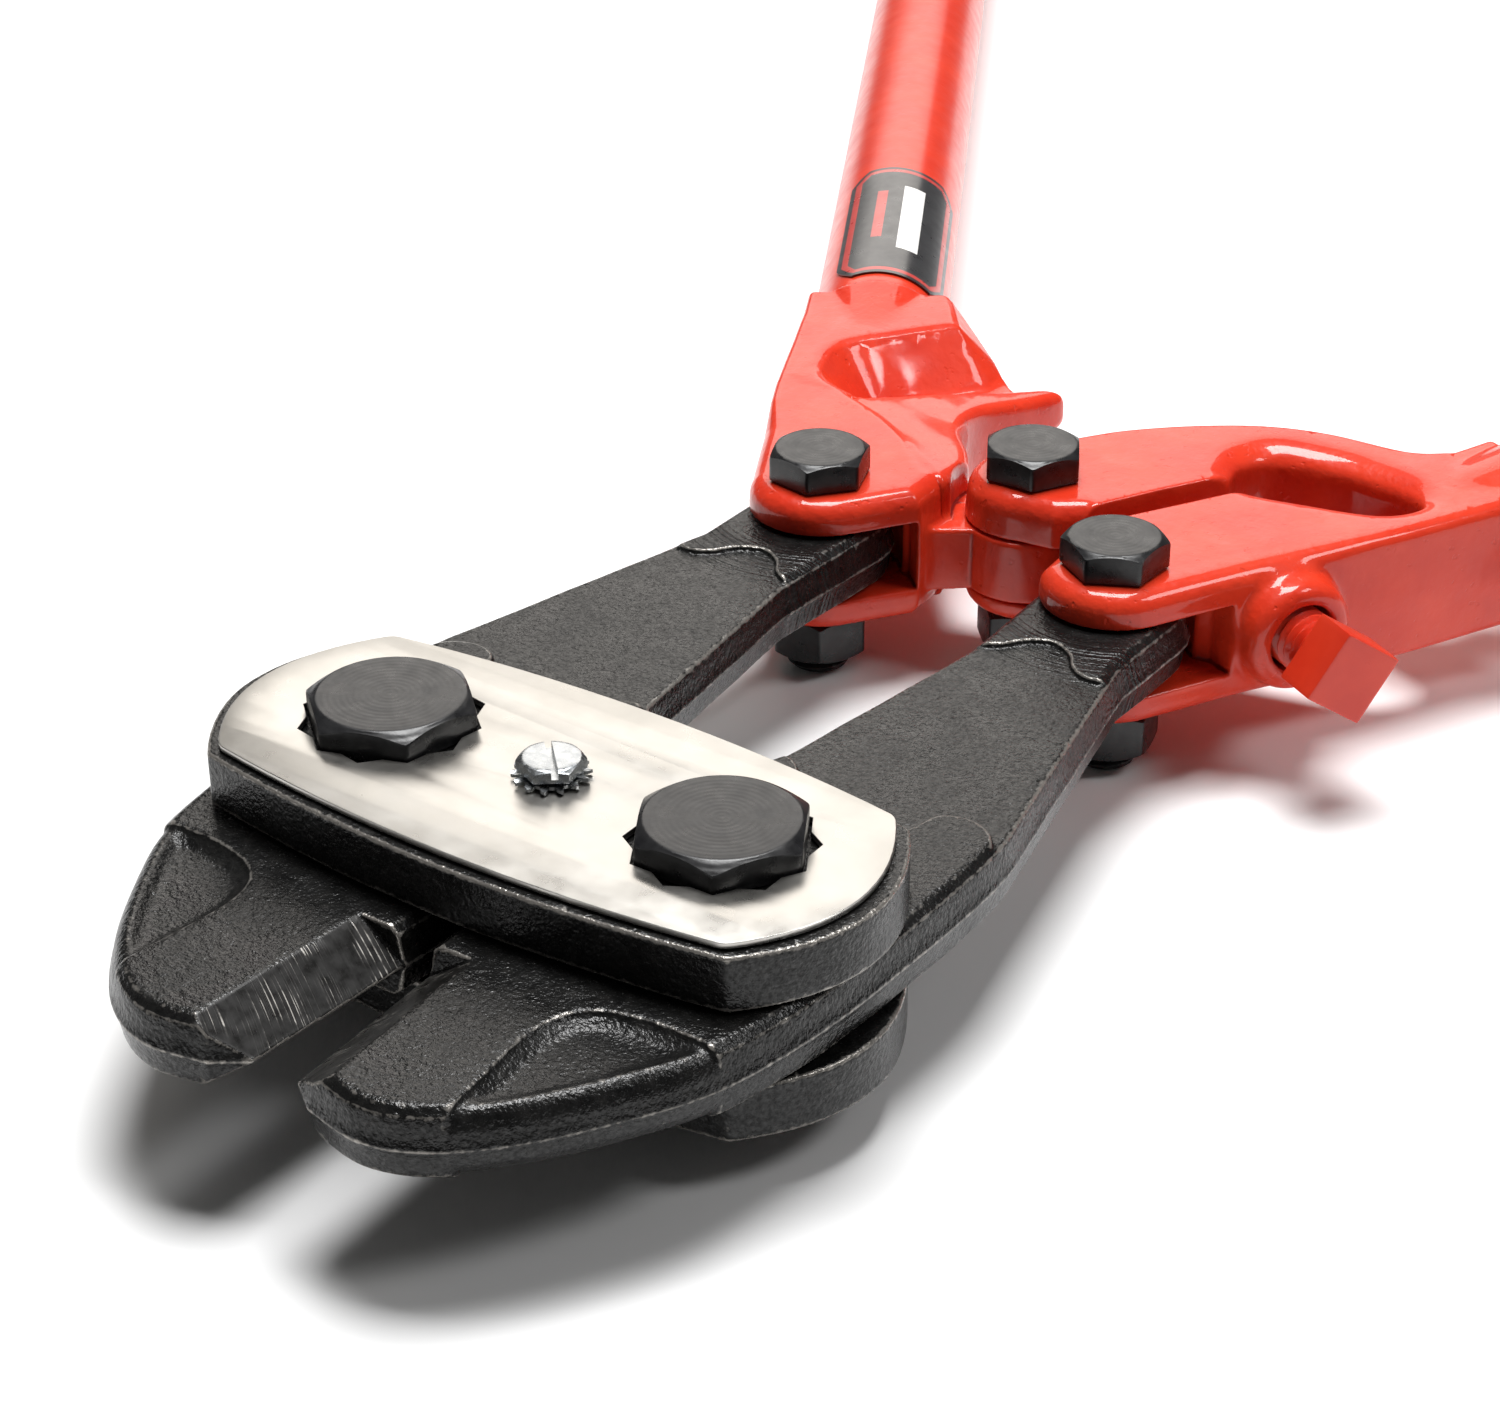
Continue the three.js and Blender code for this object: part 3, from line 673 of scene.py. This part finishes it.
# ---- Bolts, nuts, screw and washer ----
def head_rows(hexagon, top, flat, seat, neck):
    """A chamfered six-sided head from the middle of its top down to its neck."""
    rows = [(flat * share, top) for share in (0.3, 0.6, 0.9)]
    rows += [(flat - 0.25, top), (flat, top - 0.04), (flat + 0.25, top - 0.2 * CHAMFER)]
    for share in (0.4, 0.8, 0.95):
        radius = flat + (hexagon - flat) * share
        rows.append((radius, top - (radius - flat) * CHAMFER))
    rim = top - (hexagon - flat) * CHAMFER
    rows += [(hexagon - 0.05, rim - 0.12), (hexagon, rim - 0.35), (hexagon, seat + 0.35)]
    rows += [(hexagon - 0.1, seat + 0.1), (hexagon - 0.4, seat), (neck + 0.4, seat)]
    return rows


def make_turned(node, how, rows, axis, angle, material, sides=ROUND, closed=False):
    """A CAD node as rings about an axis: its origin, and its direction unless it stands."""
    piece = place(revolve(node + how, rows, sides, closed), *axis)
    dress(smooth(piece, angle), node, material)


def make_bolt(node, nut, shank, pitch):
    """A hex bolt, threaded below the height where its nut begins."""
    origin = centre_of(nut)
    across, hexagon = hexagon_of(node, origin)
    tail, top = span(node)
    nut_low, nut_high = span(nut)
    rows = head_rows(hexagon, top, FACE_SHARE * across, -nut_high, shank)
    rows += [(shank, -nut_high - 0.5), (shank, nut_low + 3.2)]
    rows += thread_rows(shank, pitch, nut_low + 3, tail)
    make_turned(node, "_forged", rows, [origin], 35, BOLT_BLACK)


def make_nut(node, shank):
    origin = centre_of(node)
    across, hexagon = hexagon_of(node, origin)
    low, high = span(node)
    bore, flat = shank + GAP, FACE_SHARE * across
    rim = (hexagon - flat) * CHAMFER
    face = [(bore, 1), (bore + 1, 0), (flat, 0), (flat + 0.25, 0.2 * CHAMFER),
            (hexagon - 0.05, rim), (hexagon, rim + 0.3)]
    rows = [(radius, high - depth) for radius, depth in face]
    rows += [(radius, low + depth) for radius, depth in reversed(face)]
    make_turned(node, "_forged", rows, [origin], 35, BOLT_BLACK, closed=True)


def make_plate_screw():
    """The slotted hex screw that holds the lock plate."""
    node = "plate_screw"
    origin = centre_of(node)
    across, hexagon = hexagon_of(node, origin)
    low, top = span(node)
    seat = span("star_washer")[1] + GAP
    shank = PLATE_HOLE - GAP
    crown = 0.12
    rows = [(0.45 * across * share, top - crown * share * share) for share in (0.3, 0.6, 0.9)]
    rows += head_rows(hexagon, top - 0.15, 0.46 * across, seat, shank)[3:]
    rows += thread_rows(shank, 1.05, seat - 0.8, low)
    piece = place(revolve(node + "_turned", rows, ROUND), origin)
    slot = mesh_object("slot_cutter", *box_points(1.3, 20, 3.6))
    slot.matrix_world = piece.matrix_world @ Matrix.Translation((0, 0, top * MM)) @ (
        Matrix.Rotation(math.radians(45), 4, "Z"))
    bpy.context.view_layer.update()
    modifier = piece.modifiers.new("slot", "BOOLEAN")
    modifier.object = slot
    modifier.operation = "DIFFERENCE"
    piece.data = evaluated_mesh(piece)
    piece.modifiers.clear()
    bpy.data.objects.remove(slot)
    dress(smooth(piece, 30), node, ZINC)


def box_points(*size):
    """The corners and faces of a box round the origin."""
    points = list(itertools.product(*((-width / 2, width / 2) for width in size)))
    faces = [(0, 1, 3, 2), (4, 6, 7, 5), (0, 4, 5, 1), (2, 3, 7, 6), (0, 2, 6, 4), (1, 5, 7, 3)]
    return points, faces


def make_star_washer():
    """An external-tooth lock washer, each tooth twisted out of its plane."""
    node = "star_washer"
    inner, root, tip = 3.6, 5.7, 7.2
    teeth, steps = 14, 12
    sides = teeth * steps
    turn = (np.arange(sides) / steps) % 1
    tooth = np.clip(1.7 - np.abs(2 * turn - 1) * 2.6, 0, 1)
    twist = 0.3 * np.sin(2 * math.pi * turn) * tooth
    low, high = span(node)
    low, high = low + 0.2, high - 0.2
    outer = root + (tip - root) * tooth
    rows = [(inner, low), (root - 0.4, low), (outer, low + twist), (outer, high + twist),
            (root - 0.4, high), (inner, high)]
    make_turned(node, "_pressed", rows, [centre_of(node)], 35, ZINC, sides, closed=True)


# ---- Straps and lock plate ----
def bend(a, control, b, steps=16):
    """A quadratic curve from a towards control and on to b, without its last point."""
    a, control, b = (np.array(p, float) for p in (a, control, b))
    shares = np.arange(steps) / steps
    return [tuple((1 - t) ** 2 * a + 2 * t * (1 - t) * control + t * t * b) for t in shares]


def strap_outline(inset):
    """Four bowed sides with a corner at each end of the front and back."""
    front, back, tip = 57 - 0.5 * inset, 59.5 - inset, 69 - inset
    low, high = -27 + inset / 2, 23.5
    reach = 2 * tip - (front + back) / 2
    return (bend((-front, low), (0, -37.5 + inset), (front, low))
            + bend((front, low), (reach, -3), (back, high))
            + bend((back, high), (0, 35.5 - inset), (-back, high))
            + bend((-back, high), (-reach, -3), (-front, low)))


def rounded(points, radius, steps=4):
    """Cuts each sharp corner of an outline with a short arc."""
    made = []
    count = len(points)
    for i, point in enumerate(np.array(points)):
        before, after = np.array(points[i - 1]), np.array(points[(i + 1) % count])
        back, ahead = before - point, after - point
        lengths = np.linalg.norm(back), np.linalg.norm(ahead)
        cosine = float(back @ ahead / (lengths[0] * lengths[1]))
        if cosine < -0.93:
            made.append(tuple(point))
            continue
        reach = min(radius, 0.45 * min(lengths))
        made += bend(point + back * reach / lengths[0], point, point + ahead * reach / lengths[1],
                     steps)
    return made


def sheet_metal(name, loops, low, high, bevel):
    """A flat piece with holes, its rims bevelled, from closed outlines in plan."""
    data = bpy.data.curves.new(name, "CURVE")
    data.dimensions = "2D"
    data.fill_mode = "BOTH"
    data.extrude = ((high - low) / 2 - bevel) * MM
    data.bevel_depth = bevel * MM
    data.bevel_resolution = 2
    data.offset = -bevel * MM
    for loop in loops:
        spline = data.splines.new("POLY")
        spline.points.add(len(loop) - 1)
        for point, (x, y) in zip(spline.points, loop):
            point.co = (x * MM, y * MM, 0, 1)
        spline.use_cyclic_u = True
    source = add_object(name + "_outline", data)
    bpy.context.view_layer.update()
    mesh = evaluated_mesh(source)
    bpy.data.objects.remove(source)
    face_outwards(mesh, merge=2e-6)
    mesh.transform(Matrix.Translation((0, 0, (MIDDLE_Z + (low + high) / 2) * MM)))
    return smooth(add_object(name, mesh), 28)


def make_strap(node):
    """A forged plate; the upper one takes the screw, the lower one has a ring groove below."""
    low, high = span(node)
    block = Block((-70.5, -37, low - 1), (70.5, 35, high + 1), BLACK_STEP)
    outline = block.plan(rounded(strap_outline(0.1), 0.7))
    body = block.prism(outline, low, high, 0.5) + block.unevenness(0.10, 3)
    if node == "strap_lower":
        groove = np.abs(block.disc(0, 0, 9.5)) - 0.5
        body = cut(body, np.maximum(groove[:, :, None], block.z - low - 0.4))
    for side in (LEFT, RIGHT):
        body = block.drilled(body, side * JAW_PIVOT_X, 0, JAW_SHANK + GAP)
    if node == "strap_upper":
        body = block.drilled(body, 0, 0, PLATE_HOLE)
    dress(block.mesh(node + "_forged", body), node, FORGED)


def make_lock_plate():
    """Its two openings are twelve-pointed, so a head can be held every 30 degrees."""
    loops = [rounded(strap_outline(3), 3.5, 6)]
    for name, side in SIDES.items():
        x = side * JAW_PIVOT_X
        first, corner = corner_of("jaw_bolt_" + name, (x, 0))
        tip = corner + 0.5
        notch = tip * math.cos(math.radians(30)) / math.cos(math.radians(15))
        star = [(notch if k % 2 else tip, first + k * math.pi / 12) for k in range(24)]
        loops.append([(x + radius * math.cos(angle), radius * math.sin(angle))
                      for radius, angle in star])
    loops.append(arc(0, 0, PLATE_HOLE, 0, 360, 33)[:-1])
    piece = sheet_metal("lock_plate_polished", loops, *span("lock_plate"), 0.22)
    dress(piece, "lock_plate", NICKEL)


# ---- Jaws ----
JAW_CLOSING = math.radians(3.53)  # turn of each jaw from rest until the edges meet
BEVEL_BACK_Y, BEVEL_WIDTH = -38, 10.5
BEVEL_SLANT = math.atan2(JAW_HALF, BEVEL_WIDTH)


def edge_x(y):
    """How far the cutting edge stands from the centre line."""
    return 0.15 + abs(y) * math.tan(JAW_CLOSING)


def jaw_outline():
    """The right jaw in plan: nose, belly, heel, inner side and cutting edge."""
    tip = -73.4
    return (
        [(edge_x(tip), tip)]
        + curve([(11, -78), (23, -80), (34, -76), (45, -65.5), (55, -50.5), (62.5, -35),
                 (66.5, -12), (67.5, 15), (66.8, 42), (63, 60.5), (51, 112)])
        + arc(HEEL_X, HEEL_Y, 15.7, 0, 180)
        + [(21.4, 102.2), (14.6, 49.5)]
        + curve([(14.6, 49.5), (9.5, 36), (4.5, 22), (1.6, 8), (1.2, -4)])
        + [(edge_x(BEVEL_BACK_Y) + 0.1, BEVEL_BACK_Y)]
    )


def jaw_pads():
    """Where the jaw has its full thickness: the head with two lugs, and the heel."""
    head = [(-20, -100), (90, -100), (90, 38)] + curve([
        (66, 41), (62, 46), (56.5, 48), (51, 45.5), (48, 37), (36, 27), (26, 35), (22.5, 43.5),
        (17.5, 47.5), (12, 45.5), (4, 40), (-20, 30)])
    heel = [(90, 170), (-20, 170), (-20, 106)] + curve([
        (12, 108), (17.5, 104.8), (22.5, 103.8), (27, 106), (30, 110), (34.5, 112.3),
        (39.5, 110), (42.5, 106), (46.5, 103.8), (50.5, 104.6), (53, 109), (57, 116), (90, 120)])
    return head, heel


def make_jaws():
    """Two forgings from one block, the left one mirrored."""
    block = Block((-1, -82.5, -8.6), (69.5, 151.5, 8.6), BLACK_STEP)
    outline = block.plan(jaw_outline())
    full = block.prism(outline, -JAW_HALF, JAW_HALF, 1.6, 0.27)
    shank = block.prism(outline, -JAW_HALF + 1.1, JAW_HALF - 1.1, 1.0, 0.16)
    pads = np.minimum(*(block.plan(points) for points in jaw_pads()))[:, :, None]
    body = join(shank, common(full, pads, 0.35), 0.5)
    flash = 0.35 * np.exp(-(block.z / 0.7) ** 2)
    body = body + block.unevenness(0.10, 5) + 0.3 - flash

    # The recess in each cheek: a low rim along the outer side, and a floor inside it
    depth = JAW_HALF - block.half
    recess = block.plan([(80, -88), (38, -88)] + curve([
        (36.3, -75), (35.4, -66), (33.9, -54), (33.7, -47.5), (35.2, -41.5), (39, -37.6),
        (45, -35.6), (52, -34.9), (61, -35.3), (80, -38)]))[:, :, None]
    body = cut(body, np.maximum(recess, depth - 4), 0.7)
    rim = block.prism(outline + 0.3, -JAW_HALF + 1.0, JAW_HALF - 1.0, 2.8, 0.2)
    body = join(body, common(rim, recess - 0.5, 0.5), 0.7)
    inside = common(recess + 0.8, outline[:, :, None] + 4.4, 2.5)
    body = cut(body, common(inside + 0.5 * (depth - 1), depth - 2.4, 2.0), 1.4)

    # Knife bevel on both faces
    back = block.x3 - edge_x(BEVEL_BACK_Y) + (block.y3 - BEVEL_BACK_Y) * math.tan(JAW_CLOSING)
    bevel = (block.half - back * math.tan(BEVEL_SLANT)) * math.cos(BEVEL_SLANT)
    body = cut(body, np.maximum(-bevel, block.y3 - BEVEL_BACK_Y), 0.25)

    body = block.drilled(body, JAW_PIVOT_X, 0, JAW_SHANK + GAP)
    body = block.drilled(body, HEEL_X, HEEL_Y, HEEL_SHANK + GAP)
    for name, side in SIDES.items():
        node = "jaw_" + name
        piece = block.mesh(node + "_forging", body, mirrored=side == LEFT)
        dress(piece, node, FORGED, GROUND)
        paint_bevel(piece, side)


def paint_bevel(piece, side):
    """Gives the ground faces of a jaw's bevel their own material."""
    sine, cosine = math.sin(BEVEL_SLANT), math.cos(BEVEL_SLANT)
    for polygon in piece.data.polygons:
        normal, centre = polygon.normal, polygon.center / MM
        alike = -side * normal.x * sine + abs(normal.z) * cosine
        if centre.y < BEVEL_BACK_Y and alike > 0.97 and side * centre.x < BEVEL_WIDTH + 6:
            polygon.material_index = 1


# ---- Handle castings ----
def along(start, side, distance, offset=0.0):
    """A point of the plan beside a tube's axis."""
    return (start[0] + side * distance * SINE + offset * COSINE,
            start[1] + distance * COSINE - side * offset * SINE)


def fork(block, side, front):
    """Room for the heel of a jaw: a disc round its pivot and the open front."""
    plan = np.minimum(block.disc(side * HEEL_X, HEEL_Y, 17.4), block.plan(front))
    return block.prism(plan, -JAW_HALF - GAP, JAW_HALF + GAP)


def finish_casting(node, block, body, start, direction):
    """Squares the end off, adds the half-cone that rises to the tube and the spigot in it,
    and makes the painted piece."""
    beyond, _ = block.along(start, direction)
    body = common(body, beyond, 1.6)
    body = join(body, block.taper(start, direction, (14.8, 18.1), (-21, -0.05), 0.6), 0.7)
    spigot = block.taper(start, direction, (13.1, 13.1), (-8, 42), 1.0)
    dress(block.mesh(node + "_painted", np.minimum(body, spigot)), node, ENAMEL)


def make_left_casting():
    """An arm with a pocket, a horn that is the closing stop, and the tongue."""
    start, direction, _, _ = tube_axis(LEFT)
    block = Block((-115, 116, -19), (17, 269, 19), CASTING_STEP)
    arm = block.plan(
        arc(-HEEL_X, HEEL_Y, ARM_RADIUS, -160, -37) + [(-13.2, 139.4)]
        + curve([(-13.5, 141), (-14.5, 150), (-21.4, 154), (-36.8, 164.9), (-49.7, 171.2),
                 (-63, 176.5), (-67.5, 183), (-69.5, 193), (-62, 205), (-53.5, 217)])
        + [along(start, LEFT, 4, 16.5), along(start, LEFT, 4, -16.5), (-88, 203), (-70.9, 167.7)])
    edge = np.interp(block.y3, (148, 160), (4.2, 1.5))
    body = block.prism(arm, -CAST_HALF, CAST_HALF, edge, 0.05)

    # Rib that ends in the closing stop, sloping from a crease on the arm to the horn's tip
    rib = block.plan([(-53, 169), (-51, 175)] + curve([
        (-34, 211.5), (-30.5, 218), (-26, 218), (-28, 206), (-31, 192), (-28.5, 179),
        (-20, 168), (-15, 160)]) + [(-14, 149), (-25, 145), (-45, 150)])[:, :, None]
    across, slope = math.radians(32), math.radians(11.1)
    beyond = (block.x3 + 49.7) * math.sin(across) + (block.y3 - 171.2) * math.cos(across)
    below = block.half - CAST_HALF + 0.35
    face = (below + beyond * math.tan(slope)) * math.cos(slope)
    rib = np.maximum(common(rib, face, 3.0), below)

    # Scooped pocket between the tube's end and the rib, closed by a web in the middle
    web = block.plan([(-69, 173), (-49, 172), (-32, 205)] + curve([
        (-31, 212), (-38, 217), (-46, 221.5), (-56, 226), (-66, 230)]) + [(-77, 205)])
    body = join(body, rib, 0.3)
    body = join(body, block.prism(web, -2.5, 2.5, 1.5), 2.0)
    scoop = (arm[:, :, None] - 0.95 * (CAST_HALF - 0.6 - block.half)) * 0.72
    scoop = np.maximum(np.maximum(scoop, web[:, :, None] + 0.2), block.half - CAST_HALF + 0.6)
    body = join(body, scoop, 1.5)

    # Tongue round the centre pivot, and the room for the other casting's ears
    neck = block.plan([(-34, 150), (-17, 140), (-6, 148.5), (-5, 174.5), (-20, 167), (-40, 168)])
    tongue = np.minimum(block.disc(0, CENTRE_Y, EAR_RADIUS), neck)
    body = join(body, block.prism(tongue, *TONGUE, 0.8), 2.0)
    ears = block.disc(0, CENTRE_Y, 16.7)[:, :, None]
    body = cut(body, np.maximum(ears, TONGUE[1] - block.z), 0.5)
    body = cut(body, np.maximum(ears, block.z - TONGUE[0]), 0.5)
    past = np.maximum(np.abs(block.x - 0.55) - 2.85, 0)
    slot = np.hypot(past, block.y - CENTRE_Y + 0.2) - HEEL_SHANK - GAP - 0.4
    body = cut(body, slot[:, :, None], 0.5)

    front = [(-80, 136), (-80, 90), (-6, 90), (-12.9, 138.2), (-19, 144)]
    body = cut(body, fork(block, LEFT, front), 0.6)
    body = block.drilled(body, -HEEL_X, HEEL_Y, HEEL_SHANK + GAP)
    body = body + block.unevenness(0.14, 8) + 0.05
    finish_casting("handle_casting_left", block, body, start, direction)


def make_right_casting():
    """Two arms that meet past an eye, with the ears and the screw's boss."""
    start, direction, _, _ = tube_axis(RIGHT)
    block = Block((-17, 116, -19), (119, 270, 19), CASTING_STEP)
    outline = block.plan(
        arc(HEEL_X, HEEL_Y, ARM_RADIUS, -150, -28)
        + [(58.3, 145.5), (77.4, 180.5), along(start, RIGHT, -12, 14.3),
           along(start, RIGHT, 4, 16.5), along(start, RIGHT, 4, -16.5)]
        + curve([(66, 221.5), (58.5, 217), (42.4, 215.7), (28, 211.1), (15.4, 202.9),
                 (4.2, 192.3), (-2.5, 183), (-9.5, 171.8)])
        + arc(0, CENTRE_Y, EAR_RADIUS, 132, 290) + [(12.5, 148.6), (17.2, 152.2), (20.6, 144)])
    edge = np.interp(block.y3, (150, 175), (4.2, 2.6))
    body = block.prism(outline, -CAST_HALF, CAST_HALF, edge, 0.06)
    boss = block.taper(BOSS, BOSS_AXIS, (13.9, 11.4), (-16, 0), 3.2)
    body = join(body, boss, 2.0) + block.unevenness(0.14, 9) + 0.05

    # Slit and eye, which let the adjusting screw spread the two arms
    slit = block.plan([(17.2, 152.2), (26, 169.2), (34.2, 183.3), (37, 185), (40, 178.9),
                       (26.1, 154.5), (20.6, 144), (16, 138), (11, 141)])
    eye = curve([(34.2, 183.3), (32.6, 192), (37, 199.5), (49.5, 202), (62, 201), (70.5, 198),
                 (73, 192.5), (67.7, 185.3), (53, 181), (40, 178.9), (34.2, 183.3)])[:-1]
    far_rim = block.plan([(x - 0.9, y + 1.8) for x, y in eye])[:, :, None]
    body = cut(body, slit[:, :, None], 0.5)
    body = cut(body, (far_rim + 2 - 1.15 * (block.half - CAST_HALF + 3.5)) * 0.66, 2.5)
    body = cut(body, block.plan(eye)[:, :, None], 1.2)

    # Bore of the adjusting screw, the ears' slot, the fork and the bolt holes
    body = cut(body, block.taper(BOSS, BOSS_AXIS, (7.4, 7.4), (-41.5, 1)), 1.2)
    ears = np.minimum(block.disc(0, CENTRE_Y, 17.6), block.disc(-2, CENTRE_Y + 4, 17.6))
    body = cut(body, block.prism(ears, TONGUE[0] - GAP, TONGUE[1] + GAP), 0.5)
    front = [(-6, 136), (0, 90), (80, 90), (66, 138), (58.9, 144), (51.5, 147)]
    body = cut(body, fork(block, RIGHT, front), 0.6)
    for x, y in ((0, CENTRE_Y), (HEEL_X, HEEL_Y)):
        body = block.drilled(body, x, y, HEEL_SHANK + GAP)
    finish_casting("handle_casting_right", block, body, start, direction)


# ---- Tubes, grips, label and adjusting screw ----
def make_tube(side, name):
    node = "handle_tube_" + name
    start, direction, length, radius = tube_axis(side)
    bore = 13.5
    rows = [(radius - 0.5, TUBE_GAP), (radius - 0.15, TUBE_GAP + 0.15), (radius, TUBE_GAP + 0.6)]
    rows += [(radius, height) for height in np.linspace(8, length - 2, 24)]
    rows += [(radius - 0.5, length), (bore, length), (bore, TUBE_GAP)]
    make_turned(node, "_drawn", rows, (start, direction), 40, TUBE_ENAMEL, 96, closed=True)


def make_grip(side, name):
    node = "grip_" + name
    start, direction, length, radius = tube_axis(side)
    low, high = box_mm(node)
    outer = (high[2] - low[2]) / 2
    inner = radius + GAP
    cap, long = 4, 152
    end = length + GAP + cap
    base = end - long
    rows = [(inner * share, end - cap) for share in (0.35, 0.7, 1.0)]
    rows += [(inner, base + 0.5), (inner + 0.4, base), (outer - 1, base), (outer - 0.2, base + 1)]
    rows += [(outer, base + 3), (outer, base + 9)]
    for ring in np.arange(base + 12, end - 26, 6.5):
        rows += [(outer, ring), (outer - 0.25, ring + 0.3), (outer - 0.9, ring + 0.9),
                 (outer - 0.9, ring + 1.9), (outer - 0.25, ring + 2.5), (outer, ring + 2.8)]
    rows += [(outer, end - 14), (outer, end - 4), (outer - 0.9, end - 1.6), (outer - 3, end)]
    rows += [((outer - 3) * share, end) for share in (0.7, 0.35)]
    make_turned(node, "_moulded", rows, (start, direction), 40, RUBBER, 96)


def make_label():
    """A film wrapped over the tube: a border line and two plain bars on a dark field. Its
    corners are cut off, and u runs round the tube and v along it."""
    node = "tube_label"
    start, direction, _, radius = tube_axis(LEFT)
    inner, outer = radius + 0.3, radius + 0.6
    middle, half = math.radians(102), math.radians(52) * outer
    length, first, clipped = 68.0, 8.5, 6.0
    down = [0, 1.4, 3.2, 7.5, 12, 16, 22, 30, 38, 46, 52, 56, 61, 64.8, 66.6, length]
    black, red, white = range(3)
    lines = (1, len(down) - 3)
    bars = {3: (red, 22, 52), 5: (white, 16, 56)}

    def stops(v):
        reach = half - max(0.0, clipped - v, clipped - (length - v)) * 0.8
        return [-reach, -reach + 1.4, -reach + 3.2, -7.0, -4.4, -0.5, 5.0, reach - 3.2,
                reach - 1.4, reach]

    def finish_at(column, row):
        if 1 <= column <= 7 and row in lines:
            return red
        if column in (1, 7):
            return red if lines[0] < row < lines[1] else black
        finish, top, bottom = bars.get(column, (black, 0, length))
        return finish if top <= down[row] < bottom else black

    parts = [max(1, math.ceil((b - a) / 1.2)) for a, b in itertools.pairwise(stops(0))]
    columns = [column for column, count in enumerate(parts) for _ in range(count)]
    points, faces, finishes = [], [], []
    for v in down:
        around = [a + (b - a) * k / count
                  for (a, b), count in zip(itertools.pairwise(stops(v)), parts)
                  for k in range(count)]
        for u in (*around, stops(v)[-1]):
            angle = middle + u / outer
            points.append((outer * math.cos(angle), outer * math.sin(angle), first + v))
    surface, width = len(points), len(columns) + 1
    points += [(x * inner / outer, y * inner / outer, z) for x, y, z in points]
    for row, (i, column) in itertools.product(range(len(down) - 1), enumerate(columns)):
        a = row * width + i
        quad = (a, a + 1, a + width + 1, a + width)
        faces += [quad, tuple(k + surface for k in quad[::-1])]
        finishes += [finish_at(column, row), black]
    last = (len(down) - 1) * width
    rims = [(i, i + 1) for i in range(width - 1)]
    rims += [(last + i + 1, last + i) for i in range(width - 1)]
    rims += [(j + width, j) for j in range(0, last, width)]
    rims += [(j + width - 1, j + 2 * width - 1) for j in range(0, last, width)]
    faces += [(b, a, a + surface, b + surface) for a, b in rims]
    piece = place(mesh_object(node + "_film", points, faces), start, direction)
    for polygon, finish in zip(piece.data.polygons, finishes):
        polygon.material_index = finish
    dress(smooth(piece, 30), node, LABEL_BLACK, LABEL_RED, LABEL_WHITE)


def make_adjuster():
    """The adjusting screw, its square head outside the boss and its thread inside."""
    node = "adjusting_screw"
    corner, radius = corner_of(node, BOSS, BOSS_AXIS)
    square = prism_radius(radius * math.sqrt(2), 4, corner)
    shank, neck, head, reach = 6.5, 7.5, 10.0, 44.6
    top = neck + head
    rows = [(square * share, top) for share in (0.35, 0.7, 0.9)]
    rim = [(0.45, 0), (0.12, 0.1), (0, 0.4)]
    rows += [(square - inwards, top - depth) for inwards, depth in rim]
    rows += [(square - inwards, neck + depth) for inwards, depth in reversed(rim)]
    rows += [(shank * 1.04, neck), (shank * 0.92, neck - 0.3)]
    rows += thread_rows(shank, 2.2, neck - 0.5, -reach)
    make_turned(node, "_threaded", rows, (BOSS, BOSS_AXIS), 30, TUBE_ENAMEL)


# ---- Assembly ----
make_camera()
make_studio()
ENAMEL, TUBE_ENAMEL = make_enamel("red_enamel", 0.22, 0.06), make_enamel("tube_enamel", 0.05, 0.2)
FORGED, GROUND, BOLT_BLACK = make_forged(), make_ground(), make_bolt_black()
NICKEL, ZINC, RUBBER = make_nickel(), make_zinc(), make_rubber()
LABEL_BLACK = make_label_film("label_black", (0.020, 0.020, 0.022), (0.030, 0.030, 0.032))
LABEL_RED = make_label_film("label_red", (0.42, 0.035, 0.030), (0.50, 0.048, 0.040))
LABEL_WHITE = make_label_film("label_white", (0.72, 0.71, 0.69), (0.80, 0.79, 0.77))

for bolt in ("jaw_bolt_left", "jaw_bolt_right", "heel_bolt_left", "heel_bolt_right",
             "centre_bolt"):
    nut = bolt.replace("bolt", "nut")
    shank, pitch = (JAW_SHANK, 2.5) if bolt.startswith("jaw") else (HEEL_SHANK, 2.0)
    make_bolt(bolt, nut, shank, pitch)
    make_nut(nut, shank)
make_plate_screw()
make_star_washer()
make_strap("strap_upper")
make_strap("strap_lower")
make_lock_plate()
make_jaws()
make_left_casting()
make_right_casting()
for name, side in SIDES.items():
    make_tube(side, name)
    make_grip(side, name)
make_label()
make_adjuster()
